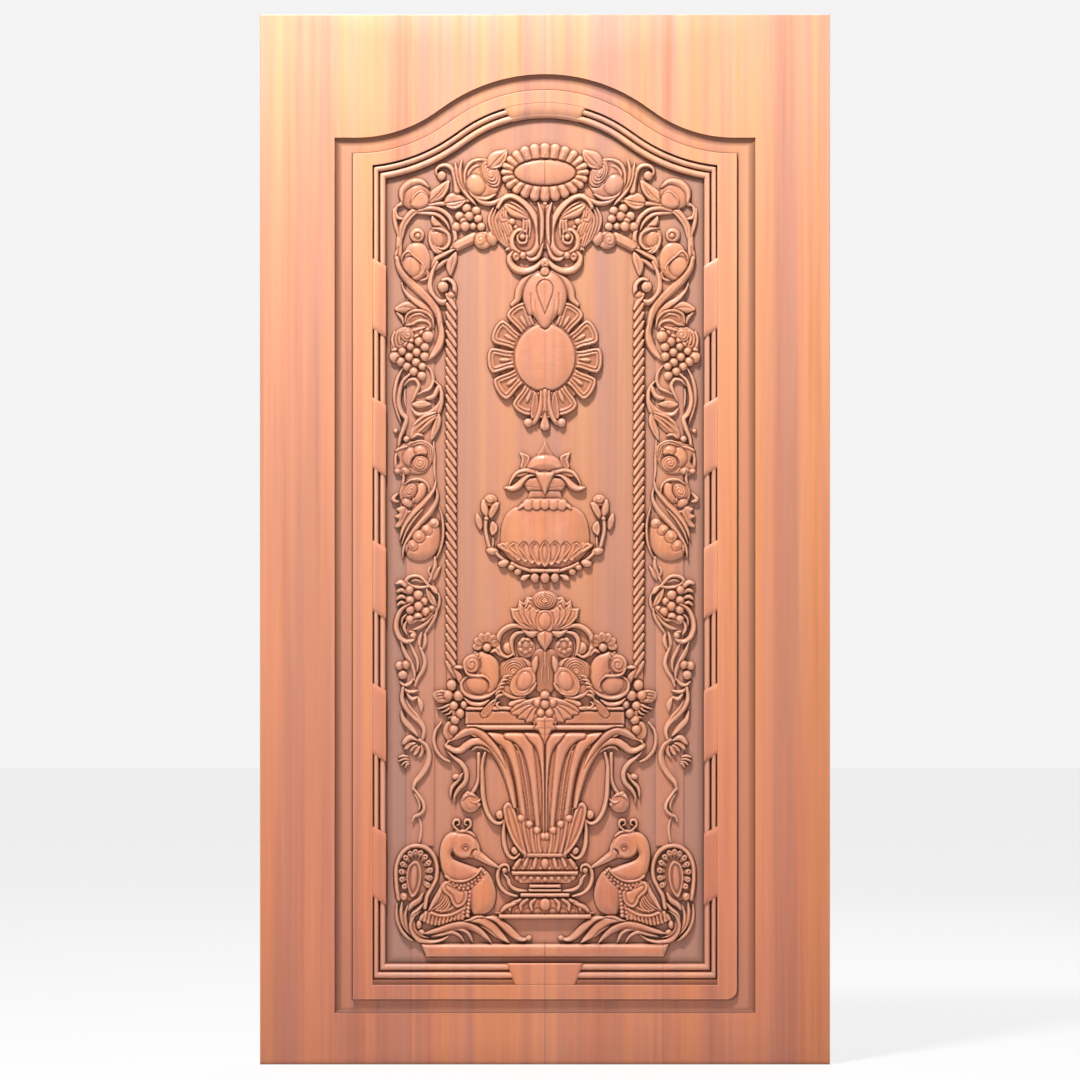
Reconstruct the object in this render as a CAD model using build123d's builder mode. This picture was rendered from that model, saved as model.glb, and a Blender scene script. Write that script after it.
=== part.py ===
from build123d import *
import os
from math import asin, atan2, cos, degrees, hypot, pi, radians, sin

# A carved temple door leaf of solid teak. All sizes are in millimetres. The leaf stands on Z = 0 with its
# carved front towards -Y, and X runs to the right as seen from the front.

# Leaf and border
LEAF_WIDTH = 1140
LEAF_HEIGHT = 2100
LEAF_THICKNESS = 45
ARRIS = 2
STILE = 149
FOOT_RAIL = 103
HEAD_RAIL = 119
SHOULDER_DROP = 246

# Arched top of the sunk field: a hollow arc, a short straight and a crowning arc
HOLLOW_RADIUS = 278
CROWN_RADIUS = 348
ARCH_SLOPE = 35

# Moulding lines inside the border, each as inset from its edge at the side, the foot and the arch
BORDER_LINE = (0, 0, 0)
COVE_LINE = (13, 9, 15)
CHANNEL_LINE = (37, 27, 32)
BAND_LINE = (76, 56, 57)
LEDGE_LINE = (76, 67, 57)
REED_LINE = (89, 83, 72)
GROUND_LINE = (103, 99, 87)

# Depths and rises of the mouldings
CHANNEL_DEPTH = 8
GROUND_DEPTH = 16
OUTER_REED_RISE = 13
INNER_REED_RISE = 10
LEDGE_RISE = 11
REED_ROUND = 4.5

# Plain blocks that interrupt the reeds
BLOCK_RISE = 15
BLOCK_LENGTH = 144
BLOCK_PITCH = 286.6
BLOCK_START = 281
BLOCK_SLANT = 16
CLASP_WIDE = 76
CLASP_NARROW = 61
CROWN_CLASP_WIDE = 83
CROWN_CLASP_NARROW = 62
CROWN_CLASP_DROP = 30

# Boards of the leaf, and the loose tongues in their glued edges
LEFT_SEAM = -268
CENTRE_SEAM = 0
RIGHT_SEAM = 236
TONGUE_WIDTH = 40
TONGUE_THICKNESS = 10
TONGUE_END = 60
TONGUE_FROM_BACK = 14
TONGUE_CLEARANCE = 0.2

# Carving: how deep each form is rooted in the ground, and how far each kind rises from it
ROOT = 2
STRIP_RISE = 3
STEM_RISE = 8
LEAF_RISE = 10
BERRY_RISE = 11
ROSE_RISE = 12
BODY_RISE = 15
STEM_FACET = 60
KITE_WIDTH = 25
LEAF_TOP = 0.42
MOUND_TOP = 0.5
TURNED_FACETS = 5

# Ropes beside the vines
ROPE_OFFSET = 188
ROPE_WIDTH = 19
ROPE_TOP = 361
ROPE_FOOT = 547
ROPE_PITCH = 18.4
ROPE_LEAN = 0.45
ROPE_CLEAR = 0.4
ROPE_RISE = 10

# Flat strips behind the vines
STRIP_NEAR = 39
STRIP_FAR = 98
STRIP_TOP = 265
STRIP_FOOT = 237

# Counts and profiles in the carving: each profile point is a height and a half-width
GADROONS = 20
MEDALLION_PETALS = 12
TAIL_FEATHERS = 8
TAIL_PITCH = 9.4
RIM_WIDTH = 320
RIM_BARS = ((513, 8, 12), (502, 23, 9), (477, 10, 15))
FLUTES = (0.22, 0.5, 0.78)
POT_PROFILE = (
    (-715, 36),
    (-760, 38),
    (-764, 30),
    (-772, 52),
    (-786, 52),
    (-802, 82),
    (-832, 90),
    (-866, 76),
    (-899, 46),
    (-908, 34),
    (-914, 46),
    (-930, 46),
)
BELL_PROFILE = ((470, 140), (446, 118), (420, 96), (380, 78), (330, 64), (276, 57), (223, 54))
FOOT_PROFILE = (
    (224, 52),
    (216, 34),
    (197, 66),
    (180, 66),
    (159, 42),
    (150, 30),
    (140, 50),
    (130, 46),
    (112, 66),
    (99, 92),
    (89, 94),
)

# Heights and half-widths that other sizes follow
FRONT_Y = -LEAF_THICKNESS / 2
GROUND_Y = FRONT_Y + GROUND_DEPTH
FIELD_HALF = LEAF_WIDTH / 2 - STILE - GROUND_LINE[0]
FIELD_FOOT = FOOT_RAIL + GROUND_LINE[1]
FIELD_CROWN = LEAF_HEIGHT - HEAD_RAIL - GROUND_LINE[2]


def facing_front(x, y, z):
    """A working plane that looks at the leaf's front: local x is X and local y is Z."""
    return Plane(origin=(x, y, z), x_dir=(1, 0, 0), z_dir=(0, -1, 0))


FRONT = facing_front(0, FRONT_Y, 0)
GROUND = facing_front(0, GROUND_Y, 0)
CROWN = facing_front(0, GROUND_Y, FIELD_CROWN)
FOOT = facing_front(0, GROUND_Y, FIELD_FOOT)
VINE_TOP = facing_front(-FIELD_HALF, GROUND_Y, FIELD_CROWN)
VINE_FOOT = facing_front(-FIELD_HALF, GROUND_Y, FIELD_FOOT)


def arched_field(inset):
    """The outline of the sunk field, moved inwards by its inset at side, foot and arch."""
    side = LEAF_WIDTH / 2 - STILE - inset[0]
    foot = FOOT_RAIL + inset[1]
    slope = radians(ARCH_SLOPE)
    reach = HOLLOW_RADIUS + CROWN_RADIUS
    straight = (SHOULDER_DROP - HEAD_RAIL - reach * (1 - cos(slope))) / sin(slope)
    hollow_x = reach * sin(slope) + straight * cos(slope)
    hollow_z = LEAF_HEIGHT - SHOULDER_DROP + HOLLOW_RADIUS
    crown_z = LEAF_HEIGHT - HEAD_RAIL - CROWN_RADIUS
    hollow = HOLLOW_RADIUS + inset[2]
    crown = CROWN_RADIUS - inset[2]
    start = asin(max(0, (hollow_x - side) / hollow))

    def on_hollow(angle):
        return (hollow_x - hollow * sin(angle), hollow_z - hollow * cos(angle))

    def on_crown(angle):
        return (crown * sin(angle), crown_z + crown * cos(angle))

    with BuildSketch() as field:
        with BuildLine():
            Line((0, foot), (side, foot))
            Line((side, foot), (side, on_hollow(start)[1]))
            if side > hollow_x:
                Line((side, on_hollow(0)[1]), on_hollow(0))
            ThreePointArc(on_hollow(start), on_hollow((start + slope) / 2), on_hollow(slope))
            Line(on_hollow(slope), on_crown(slope))
            ThreePointArc(on_crown(slope), on_crown(slope / 2), on_crown(0))
            mirror(about=Plane.YZ)
        make_face()
    return field.sketch


def leaf(at, base, tip, width, rise=LEAF_RISE):
    """A pointed leaf from base to tip, its sides sloping up to a narrow back. Small ones are kites."""
    length = hypot(tip[0] - base[0], tip[1] - base[1])
    heading = degrees(atan2(tip[1] - base[1], tip[0] - base[0]))
    slope = degrees(atan2(width * (1 - LEAF_TOP) / 2, rise + ROOT))
    side = [(length * 0.25, width / 2), (length * 0.62, width * 0.4)]
    if width < KITE_WIDTH:
        side = [(length * 0.4, width / 2)]
    corners = [(0, 0), *side, (length, 0), *[(x, -y) for x, y in reversed(side)]]
    with BuildPart() as form:
        with BuildSketch(at.offset(-ROOT)):
            with Locations(Location((*base, 0), (0, 0, heading))):
                Polygon(*corners, align=None)
        extrude(amount=rise + ROOT, taper=slope)
    return form.part


def mound(at, centre, radii, rise=BERRY_RISE, turn=0, sides=5, top=MOUND_TOP):
    """A faceted boss on an oval of the given radii: a berry, a bud, a petal or a body."""
    slope = degrees(atan2(min(radii) * (1 - top), rise + ROOT))
    corners = [
        (radii[0] * cos(2 * pi * i / sides), radii[1] * sin(2 * pi * i / sides)) for i in range(sides)
    ]
    with BuildPart() as form:
        with BuildSketch(at.offset(-ROOT)):
            with Locations(centre):
                Polygon(*corners, rotation=turn)
        extrude(amount=rise + ROOT, taper=slope)
    return form.part


def stem(at, points, width, rise=STEM_RISE):
    """A sharp-backed ridge along tangent arcs, cut in short facets: a stem, a tendril or a scroll."""
    with BuildLine() as course:
        arcs = [ThreePointArc(*points[:3])]
        for point in points[3:]:
            arcs.append(TangentArc(arcs[-1] @ 1, point, tangent=arcs[-1] % 1))
    corners = [arcs[0] @ 0]
    for arc in arcs:
        facets = max(1, round(degrees(arc.length / arc.radius) / STEM_FACET))
        corners += [arc @ ((step + 1) / facets) for step in range(facets)]
    with BuildLine() as chords:
        Polyline(*corners)
    route = at.from_local_coords(chords.wire())
    with BuildPart() as form:
        with BuildSketch(Plane(origin=route @ 0, x_dir=at.z_dir, z_dir=route % 0)):
            with BuildLine():
                Polyline((-ROOT, -width / 2), (rise, 0), (-ROOT, width / 2), close=True)
            make_face()
        sweep(path=route, transition=Transition.RIGHT)
    return form.part


def rose(at, centre, radius, rise=ROSE_RISE):
    """A rose: two rings of petals that step up to its heart."""
    return [
        mound(at, centre, (radius, radius), rise * 0.65, 0, 7, 0.75),
        mound(at, centre, (radius * 0.5, radius * 0.5), rise, 20, 5, 0.5),
    ]


def turned(at, profile, rise=BODY_RISE):
    """A half-turned form in relief: a faceted section at each height and half-width of the profile."""
    widest = max(half_width for _, half_width in profile)
    with BuildPart() as form:
        for height, half_width in profile:
            bulge = rise * (0.55 + 0.45 * half_width / widest)
            facets = [
                (-half_width * cos(pi * step / TURNED_FACETS), -bulge * sin(pi * step / TURNED_FACETS))
                for step in range(TURNED_FACETS + 1)
            ]
            level = Plane(origin=at.origin + at.y_dir * height, x_dir=(1, 0, 0), z_dir=(0, 0, 1))
            with BuildSketch(level):
                Polygon((-half_width, ROOT), *facets, (half_width, ROOT), align=None)
        loft(ruled=True)
    return form.part


def carve(at, leaves=(), stems=(), berries=(), roses=()):
    """The solids of one motif: leaves (base, tip, width), stems (points, width), berries and roses."""
    forms = [leaf(at, base, tip, width) for base, tip, width in leaves]
    forms += [stem(at, points, width) for points, width in stems]
    forms += [mound(at, centre, (radius, radius)) for centre, radius in berries]
    for centre, radius in roses:
        forms += rose(at, centre, radius)
    return forms


def crown_flowers():
    """Rose, acanthus volute, buds and grapes beside the boss, hung from the arch."""
    forms = carve(
        CROWN,
        leaves=(
            ((-72, -78), (-118, -92), 26),
            ((-204, -163), (-152, -167), 28),
            ((-176, -261), (-142, -241), 24),
        ),
        stems=(
            (((-220, -109), (-203, -95), (-181, -120), (-174, -146)), 15),
            (((-182, -100), (-170, -150), (-140, -176)), 12),
            (((-148, -160), (-122, -174), (-82, -158)), 15),
            (((-92, -166), (-46, -158), (-15, -215), (-22, -262), (-62, -250), (-52, -219)), 15),
        ),
        berries=(
            ((-157, -183), 10),
            ((-138, -187), 9),
            ((-171, -199), 10),
            ((-176, -221), 10),
            ((-159, -220), 11),
            ((-46, -238), 11),
        ),
        roses=(((-106, -112), 26),),
    )
    forms.append(mound(CROWN, (-142, -132), (20, 22), ROSE_RISE))
    forms.append(mound(CROWN, (-130, -237), (19, 17), ROSE_RISE))
    return forms


def medallion_scroll():
    """C-scroll, tulip bud and trefoil above and below the medallion."""
    return carve(
        CROWN,
        leaves=(((-14, -318), (-10, -412), 34), ((-10, -715), (-82, -743), 22), ((-22, -708), (-46, -670), 18)),
        stems=(
            (((-56, -268), (-70, -288), (-36, -308), (-8, -288)), 15),
            (((-34, -325), (-51, -350), (-66, -376)), 11),
            (((-4, -551), (-8, -596), (-34, -620)), 11),
            (((-118, -806), (-114, -838), (-102, -866)), 8),
            (((-96, -875), (-68, -899), (-34, -909)), 10),
        ),
        berries=(((-42, -273), 10), ((-28, -610), 9)),
    ) + [mound(CROWN, (-110, -782), (17, 24), ROSE_RISE)]


def vine_top():
    """Upper half of the vine: buds, leaves, grapes, marigold and roses on a winding stem."""
    forms = carve(
        VINE_TOP,
        leaves=(
            ((90, -165), (128, -122), 22),
            ((86, -198), (128, -230), 16),
            ((54, -386), (14, -383), 20),
            ((92, -394), (40, -412), 22),
            ((114, -288), (142, -316), 20),
            ((102, -581), (48, -573), 26),
            ((92, -598), (48, -640), 22),
            ((104, -592), (90, -646), 13),
            ((26, -756), (20, -826), 20),
            ((56, -446), (14, -466), 20),
        ),
        stems=(
            (((34, -251), (44, -201), (100, -159)), 11),
            (((26, -283), (52, -332), (106, -390), (82, -490)), 13),
            (((84, -318), (98, -352), (132, -338), (126, -312)), 11),
            (((34, -498), (18, -550), (30, -602)), 9),
            (((94, -525), (110, -565), (78, -622)), 10),
            (((36, -589), (40, -612), (24, -656)), 10),
            (((98, -733), (70, -778), (34, -838), (36, -878)), 10),
            (((92, -876), (97, -900), (86, -932)), 10),
        ),
        berries=(
            ((64, -236), 10),
            ((115, -334), 9),
            ((82, -439), 10),
            ((64, -450), 10),
            ((62, -471), 9),
            ((56, -489), 9),
            ((72, -499), 9),
            ((44, -503), 9),
            ((60, -513), 9),
        ),
        roses=(((58, -681), 33), ((56, -757), 28), ((110, -239), 21)),
    )
    forms.append(mound(VINE_TOP, (60, -152), (29, 24), ROSE_RISE, 20, 9))
    forms.append(mound(VINE_TOP, (62, -287), (28, 34), ROSE_RISE, 0, 9))
    forms.append(mound(VINE_TOP, (48, -438), (32, 26), ROSE_RISE, 0, 9, 0.7))
    forms.append(mound(VINE_TOP, (79, -846), (20, 22), ROSE_RISE, 0, 8))
    return forms


def vine_foot():
    """Lower half of the vine: leaves, grapes, curling bract, ribbons and tail, down to the peacock."""
    return carve(
        VINE_FOOT,
        leaves=(
            ((86, 757), (34, 783), 24),
            ((90, 763), (106, 741), 11),
            ((84, 755), (97, 711), 18),
            ((50, 746), (18, 764), 14),
            ((76, 660), (70, 624), 12),
            ((34, 551), (68, 548), 12),
            ((66, 535), (72, 501), 14),
            ((68, 445), (28, 440), 20),
            ((70, 437), (42, 413), 16),
            ((46, 409), (24, 405), 13),
        ),
        stems=(
            (((36, 716), (17, 680), (46, 643), (57, 657)), 12),
            (((100, 728), (96, 688), (68, 630)), 9),
            (((68, 640), (77, 602), (54, 564)), 9),
            (((26, 645), (42, 612), (56, 580)), 9),
            (((34, 548), (40, 510), (70, 478), (72, 450)), 10),
            (((32, 504), (42, 474), (66, 450)), 8),
            (((74, 452), (86, 410), (50, 350)), 11),
            (((54, 350), (74, 310), (50, 288)), 9),
            (((62, 290), (69, 264), (62, 240)), 8),
        ),
        berries=(
            ((47, 746), 9),
            ((64, 738), 10),
            ((82, 716), 9),
            ((64, 694), 9),
            ((48, 688), 9),
            ((26, 595), 8),
            ((40, 597), 8),
        ),
    )


def basket_flowers():
    """Lotus stem scrolls, buds, roses and grapes heaped over the basket."""
    forms = carve(
        FOOT,
        leaves=(
            ((-28, 671), (-68, 703), 26),
            ((-26, 700), (-50, 728), 18),
            ((-92, 535), (-128, 493), 24),
            ((-16, 524), (-68, 498), 28),
            ((-188, 538), (-226, 533), 20),
            ((-186, 516), (-220, 494), 20),
            ((-188, 488), (-202, 452), 18),
            ((-160, 600), (-188, 584), 18),
        ),
        stems=(
            (((-20, 668), (-74, 668), (-94, 640), (-78, 617)), 11),
            (((-166, 548), (-128, 526), (-88, 552)), 12),
            (((-222, 466), (-222, 430), (-192, 400), (-165, 375), (-182, 322)), 10),
        ),
        berries=(
            ((-74, 632), 10),
            ((-116, 634), 9),
            ((-187, 560), 11),
            ((-194, 535), 10),
            ((-180, 515), 9),
            ((-184, 487), 9),
            ((-185, 470), 9),
            ((-9, 520), 9),
            ((-9, 503), 9),
        ),
        roses=(((-66, 591), 23), ((-147, 598), 17)),
    )
    forms.append(mound(FOOT, (-124, 582), (33, 38), BODY_RISE, 0, 10))
    forms.append(mound(FOOT, (-42, 563), (20, 24), BODY_RISE, 0, 8))
    return forms


def basket_side():
    """Rim lip, handles, pomegranate and calyx petals on the left of the basket."""
    forms = carve(
        FOOT,
        leaves=(
            ((-72, 315), (-40, 223), 22),
            ((-50, 289), (-32, 223), 18),
            ((-32, 279), (-22, 223), 16),
            ((-118, 443), (-198, 432), 30),
        ),
        stems=(
            (((-196, 436), (-150, 461), (-90, 412), (-56, 298)), 16),
            (((-124, 416), (-122, 316), (-82, 281), (-82, 300)), 9),
            (((-80, 270), (-79, 228), (-60, 210), (-52, 224)), 8),
            (((-66, 192), (-94, 178), (-62, 134)), 9),
            (((-132, 412), (-132, 376), (-142, 346)), 7),
        ),
        berries=(((-90, 297), 8), ((-60, 223), 7)),
    )
    forms.append(mound(FOOT, (-149, 323), (19, 20), ROSE_RISE, 0, 9))
    return forms


def peacock():
    """The peacock that faces the basket, with its tail looped behind it and foliage at its feet."""
    forms = carve(
        FOOT,
        leaves=(
            ((-144, 227), (-90, 192), 18),
            ((-168, 258), (-180, 286), 10),
            ((-164, 258), (-156, 286), 10),
            ((-200, 158), (-162, 112), 38),
            ((-206, 150), (-240, 98), 22),
        ),
        stems=(
            (((-200, 176), (-162, 162), (-120, 190)), 8),
            (((-296, 118), (-298, 196), (-262, 235), (-215, 192), (-238, 102)), 9),
            (((-240, 58), (-176, 79), (-100, 44)), 12),
            (((-148, 84), (-112, 68), (-84, 42)), 12),
            (((-122, 88), (-88, 76), (-42, 46)), 11),
            (((-264, 78), (-252, 46), (-200, 46)), 8),
        ),
    )
    forms.append(stem(FOOT, ((-152, 244), (-197, 232), (-184, 184), (-126, 184)), 30, BERRY_RISE))
    forms.append(mound(FOOT, (-160, 236), (27, 22), BODY_RISE, -15, 10))
    forms.append(mound(FOOT, (-126, 141), (30, 47), BODY_RISE, 4, 12))
    forms.append(mound(FOOT, (-262, 177), (14, 27), STEM_RISE, -10, 8))
    for step in range(TAIL_FEATHERS):
        tip = (-232 + TAIL_PITCH * step, 74 + 2.6 * step)
        forms.append(leaf(FOOT, (tip[0] + 8, tip[1] + 24), tip, TAIL_PITCH))
    return forms


def boss():
    """The oval boss under the arch, ringed with gadroons."""
    centre = (0, -107)
    forms = [
        mound(CROWN, centre, (82, 52), STEM_RISE, 0, 16, 0.85),
        mound(CROWN, centre, (61, 26), BODY_RISE, 0, 12, 0.6),
    ]
    for step in range(GADROONS):
        angle = 2 * pi * (step + 0.5) / GADROONS
        place = (centre[0] + 76 * cos(angle), centre[1] + 46 * sin(angle))
        forms.append(mound(CROWN, place, (12, 8), LEAF_RISE, degrees(angle), 4))
    return forms


def medallion():
    """The round medallion in a ring of lotus petals, with a bead over it."""
    centre = (0, -480)
    forms = [
        mound(CROWN, centre, (62, 68), BODY_RISE, 0, 12, 0.55),
        mound(CROWN, (0, -301), (10, 10), BERRY_RISE),
        leaf(CROWN, (0, -585), (0, -630), 18),
    ]
    for step in range(MEDALLION_PETALS):
        angle = 2 * pi * (step + 0.5) / MEDALLION_PETALS
        inner = (50 * cos(angle), centre[1] + 54 * sin(angle))
        outer = (112 * cos(angle), centre[1] + 116 * sin(angle))
        forms.append(leaf(CROWN, inner, outer, 46))
    return forms


def kalash():
    """The pot of plenty under the medallion, with its coconut."""
    forms = [turned(CROWN, POT_PROFILE), mound(CROWN, (0, -690), (36, 24), ROSE_RISE, 0, 10)]
    forms.append(leaf(CROWN, (0, -680), (0, -642), 22))
    for step in range(-3, 4):
        place = 15 * step
        forms.append(leaf(CROWN, (place * 0.9, -897), (place, -838), 15, BODY_RISE + 1))
    return forms


def basket():
    """The fluted basket on its foot, under a rim of three bars, with the lotus over it."""
    forms = [
        turned(FOOT, BELL_PROFILE, ROSE_RISE),
        turned(FOOT, FOOT_PROFILE),
        mound(FOOT, (0, 686), (58, 36), ROSE_RISE, 0, 12),
        mound(FOOT, (0, 683), (26, 21), BODY_RISE, 0, 8),
        leaf(FOOT, (0, 669), (0, 622), 40),
        leaf(FOOT, (0, 500), (0, 440), 36),
        mound(FOOT, (0, 536), (10, 10)),
        leaf(FOOT, (0, 223), (0, 262), 18),
    ]
    forms += rose(FOOT, (0, 722), 34, BODY_RISE)
    for top, height, rise in RIM_BARS:
        with BuildPart() as bar:
            with BuildSketch(FOOT.offset(-ROOT)):
                with Locations((0, top - height / 2)):
                    Rectangle(RIM_WIDTH, height)
            extrude(amount=rise + ROOT, taper=12)
        forms.append(bar.part)
    for share in FLUTES:
        for side in (-share, share):
            points = [(side * half_width, height) for height, half_width in BELL_PROFILE[::2]]
            forms.append(stem(FOOT, points, 11, BODY_RISE))
    for height, reach, lobe in ((197, 54, 13), (115, 66, 17)):
        for step in range(-2, 3):
            forms.append(mound(FOOT, (reach * step / 2.4, height), (9, lobe), BODY_RISE, 0, 6, 0.7))
    return forms


def plinth():
    """The bar that the basket and the peacocks stand on."""
    with BuildPart() as bar:
        with BuildSketch(FOOT.offset(-ROOT)):
            Polygon((-250, 38), (-238, 13), (240, 13), (254, 38), align=None)
        extrude(amount=BODY_RISE + ROOT, taper=20)
    return bar.part


def rope():
    """The left rope: one slanting sharp-backed strand at each turn, side by side."""
    foot = FIELD_FOOT + ROPE_FOOT
    turns = int((FIELD_CROWN - ROPE_TOP - foot) / ROPE_PITCH)
    lean = ROPE_PITCH * ROPE_LEAN
    half = ROPE_PITCH / 2 - ROPE_CLEAR
    edge = ROPE_WIDTH / 2
    strands = []
    for step in range(turns):
        middle = foot + (step + 0.5) * ROPE_PITCH
        left_end = Plane(origin=(-ROPE_OFFSET - edge, GROUND_Y, middle + lean), x_dir=(0, 0, 1), z_dir=(-1, 0, 0))
        right_end = Plane(origin=(-ROPE_OFFSET + edge, GROUND_Y, middle - lean), x_dir=(0, 0, 1), z_dir=(-1, 0, 0))
        with BuildPart() as strand:
            for end in (left_end, right_end):
                with BuildSketch(end):
                    Polygon((-half, -ROOT), (half, -ROOT), (0, ROPE_RISE), align=None)
            loft(ruled=True)
        strands.append(strand.part)
    return strands


def flat_strip():
    """The low flat strip that runs behind the left vine."""
    foot = FIELD_FOOT + STRIP_FOOT
    top = FIELD_CROWN - STRIP_TOP
    with BuildPart() as strip:
        with BuildSketch(facing_front(-FIELD_HALF, GROUND_Y, foot).offset(-ROOT)):
            with Locations(((STRIP_NEAR + STRIP_FAR) / 2, (top - foot) / 2)):
                Rectangle(STRIP_FAR - STRIP_NEAR, top - foot)
        extrude(amount=STRIP_RISE + ROOT)
    return strip.part


def reed_blocks():
    """The plain blocks that interrupt the reeds on the left side, cut on the slant."""
    outer = -(LEAF_WIDTH / 2 - STILE - BAND_LINE[0])
    top = FIELD_CROWN - BLOCK_START
    count = 1 + int((top - FIELD_FOOT - BLOCK_LENGTH) / BLOCK_PITCH)
    blocks = []
    for step in range(count):
        upper = top - step * BLOCK_PITCH
        lower = upper - BLOCK_LENGTH
        with BuildPart() as block:
            with BuildSketch(GROUND.offset(-ROOT)):
                with BuildLine():
                    Polyline(
                        (outer - ROOT, upper),
                        (-FIELD_HALF, upper - BLOCK_SLANT),
                        (-FIELD_HALF, lower - BLOCK_SLANT),
                        (outer - ROOT, lower),
                        close=True,
                    )
                make_face()
            extrude(amount=BLOCK_RISE + ROOT)
        blocks.append(block.part)
    return blocks


def clasp(low, low_half, high, high_half):
    """A plain block across the reeds on the middle line, between two heights, each with its half-width."""
    with BuildPart() as form:
        with BuildSketch(GROUND.offset(-ROOT)):
            add(arched_field(BAND_LINE))
            add(arched_field(GROUND_LINE), mode=Mode.SUBTRACT)
            Polygon(
                (-low_half, low),
                (low_half, low),
                (high_half, high),
                (-high_half, high),
                align=None,
                mode=Mode.INTERSECT,
            )
        extrude(amount=BLOCK_RISE + ROOT)
    return form.part


def foot_ledge():
    """The low ledge between the band and the reeds at the foot."""
    half_width = LEAF_WIDTH / 2 - STILE - BAND_LINE[0]
    low = FOOT_RAIL + BAND_LINE[1] - ROOT
    high = FOOT_RAIL + LEDGE_LINE[1]
    with BuildPart() as form:
        with BuildSketch(GROUND.offset(-ROOT)):
            with Locations((0, (low + high) / 2)):
                Rectangle(2 * (half_width + ROOT), high - low)
        extrude(amount=LEDGE_RISE + ROOT)
    return form.part


def reed(outer_line, inner_line, rise):
    """A reed all round the field between two lines, with both its edges cut back."""
    with BuildPart() as form:
        with BuildSketch(GROUND.offset(-ROOT)):
            add(arched_field(outer_line))
            add(arched_field(inner_line), mode=Mode.SUBTRACT)
        extrude(amount=rise + ROOT)
        chamfer(form.faces().sort_by(Axis.Y)[0].edges(), REED_ROUND)
    return form.part


mouldings = [
    reed(LEDGE_LINE, REED_LINE, OUTER_REED_RISE),
    reed(REED_LINE, GROUND_LINE, INNER_REED_RISE),
    foot_ledge(),
    clasp(FOOT_RAIL + BAND_LINE[1], CLASP_NARROW, FIELD_FOOT, CLASP_WIDE),
    clasp(FIELD_CROWN - CROWN_CLASP_DROP, CROWN_CLASP_NARROW, LEAF_HEIGHT - HEAD_RAIL, CROWN_CLASP_WIDE),
]

# Everything carved on the left half is mirrored to the right
left_half = crown_flowers() + medallion_scroll() + vine_top() + vine_foot()
left_half += basket_flowers() + basket_side() + peacock() + rope() + [flat_strip()] + reed_blocks()
carving = left_half + [form.mirror(Plane.YZ) for form in left_half]
carving += boss() + medallion() + kalash() + basket() + [plinth()] + mouldings

with BuildPart() as slab:
    with BuildSketch(FRONT):
        with Locations((0, LEAF_HEIGHT / 2)):
            Rectangle(LEAF_WIDTH, LEAF_HEIGHT)
    extrude(amount=-LEAF_THICKNESS)
    chamfer(slab.edges(), ARRIS)
    with BuildSketch(FRONT):
        add(arched_field(BORDER_LINE))
    with BuildSketch(FRONT.offset(-CHANNEL_DEPTH)):
        add(arched_field(COVE_LINE))
    loft(mode=Mode.SUBTRACT, ruled=True)
    with BuildSketch(FRONT.offset(-CHANNEL_DEPTH - ROOT)):
        add(arched_field(CHANNEL_LINE))
    extrude(amount=CHANNEL_DEPTH + ROOT)
    with BuildSketch(FRONT):
        add(arched_field(BAND_LINE))
    extrude(amount=-GROUND_DEPTH, mode=Mode.SUBTRACT)

# The leaf is glued up from four upright boards, with a loose tongue in a stopped groove along each seam
seams = (LEFT_SEAM, CENTRE_SEAM, RIGHT_SEAM)
edges = (-LEAF_WIDTH / 2, *seams, LEAF_WIDTH / 2)
tongue_height = LEAF_HEIGHT - 2 * TONGUE_END
tongue_y = LEAF_THICKNESS / 2 - TONGUE_FROM_BACK
groove_size = [size + 2 * TONGUE_CLEARANCE for size in (TONGUE_WIDTH, TONGUE_THICKNESS, tongue_height)]
os.makedirs("parts", exist_ok=True)

for name, left, right in zip(
    ("left_board", "centre_left_board", "centre_right_board", "right_board"), edges, edges[1:]
):
    forms = [f for f in carving if f.bounding_box().max.X > left and f.bounding_box().min.X < right]
    with BuildPart() as board:
        add(slab.part)
        add(forms, clean=False)
        with Locations(((left + right) / 2, 0, LEAF_HEIGHT / 2)):
            Box(right - left, LEAF_THICKNESS * 2, LEAF_HEIGHT * 2, mode=Mode.INTERSECT)
        with Locations(*[(seam, tongue_y, LEAF_HEIGHT / 2) for seam in seams if left <= seam <= right]):
            Box(*groove_size, mode=Mode.SUBTRACT)
    board.part.label = name
    export_step(board.part, f"parts/{name}.step")

for name, seam in zip(("left_tongue", "centre_tongue", "right_tongue"), seams):
    with BuildPart() as tongue:
        with Locations((seam, tongue_y, LEAF_HEIGHT / 2)):
            Box(TONGUE_WIDTH, TONGUE_THICKNESS, tongue_height)
    tongue.part.label = name
    export_step(tongue.part, f"parts/{name}.step")
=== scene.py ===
from math import asin, cos, hypot, pi, radians, sin

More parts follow.
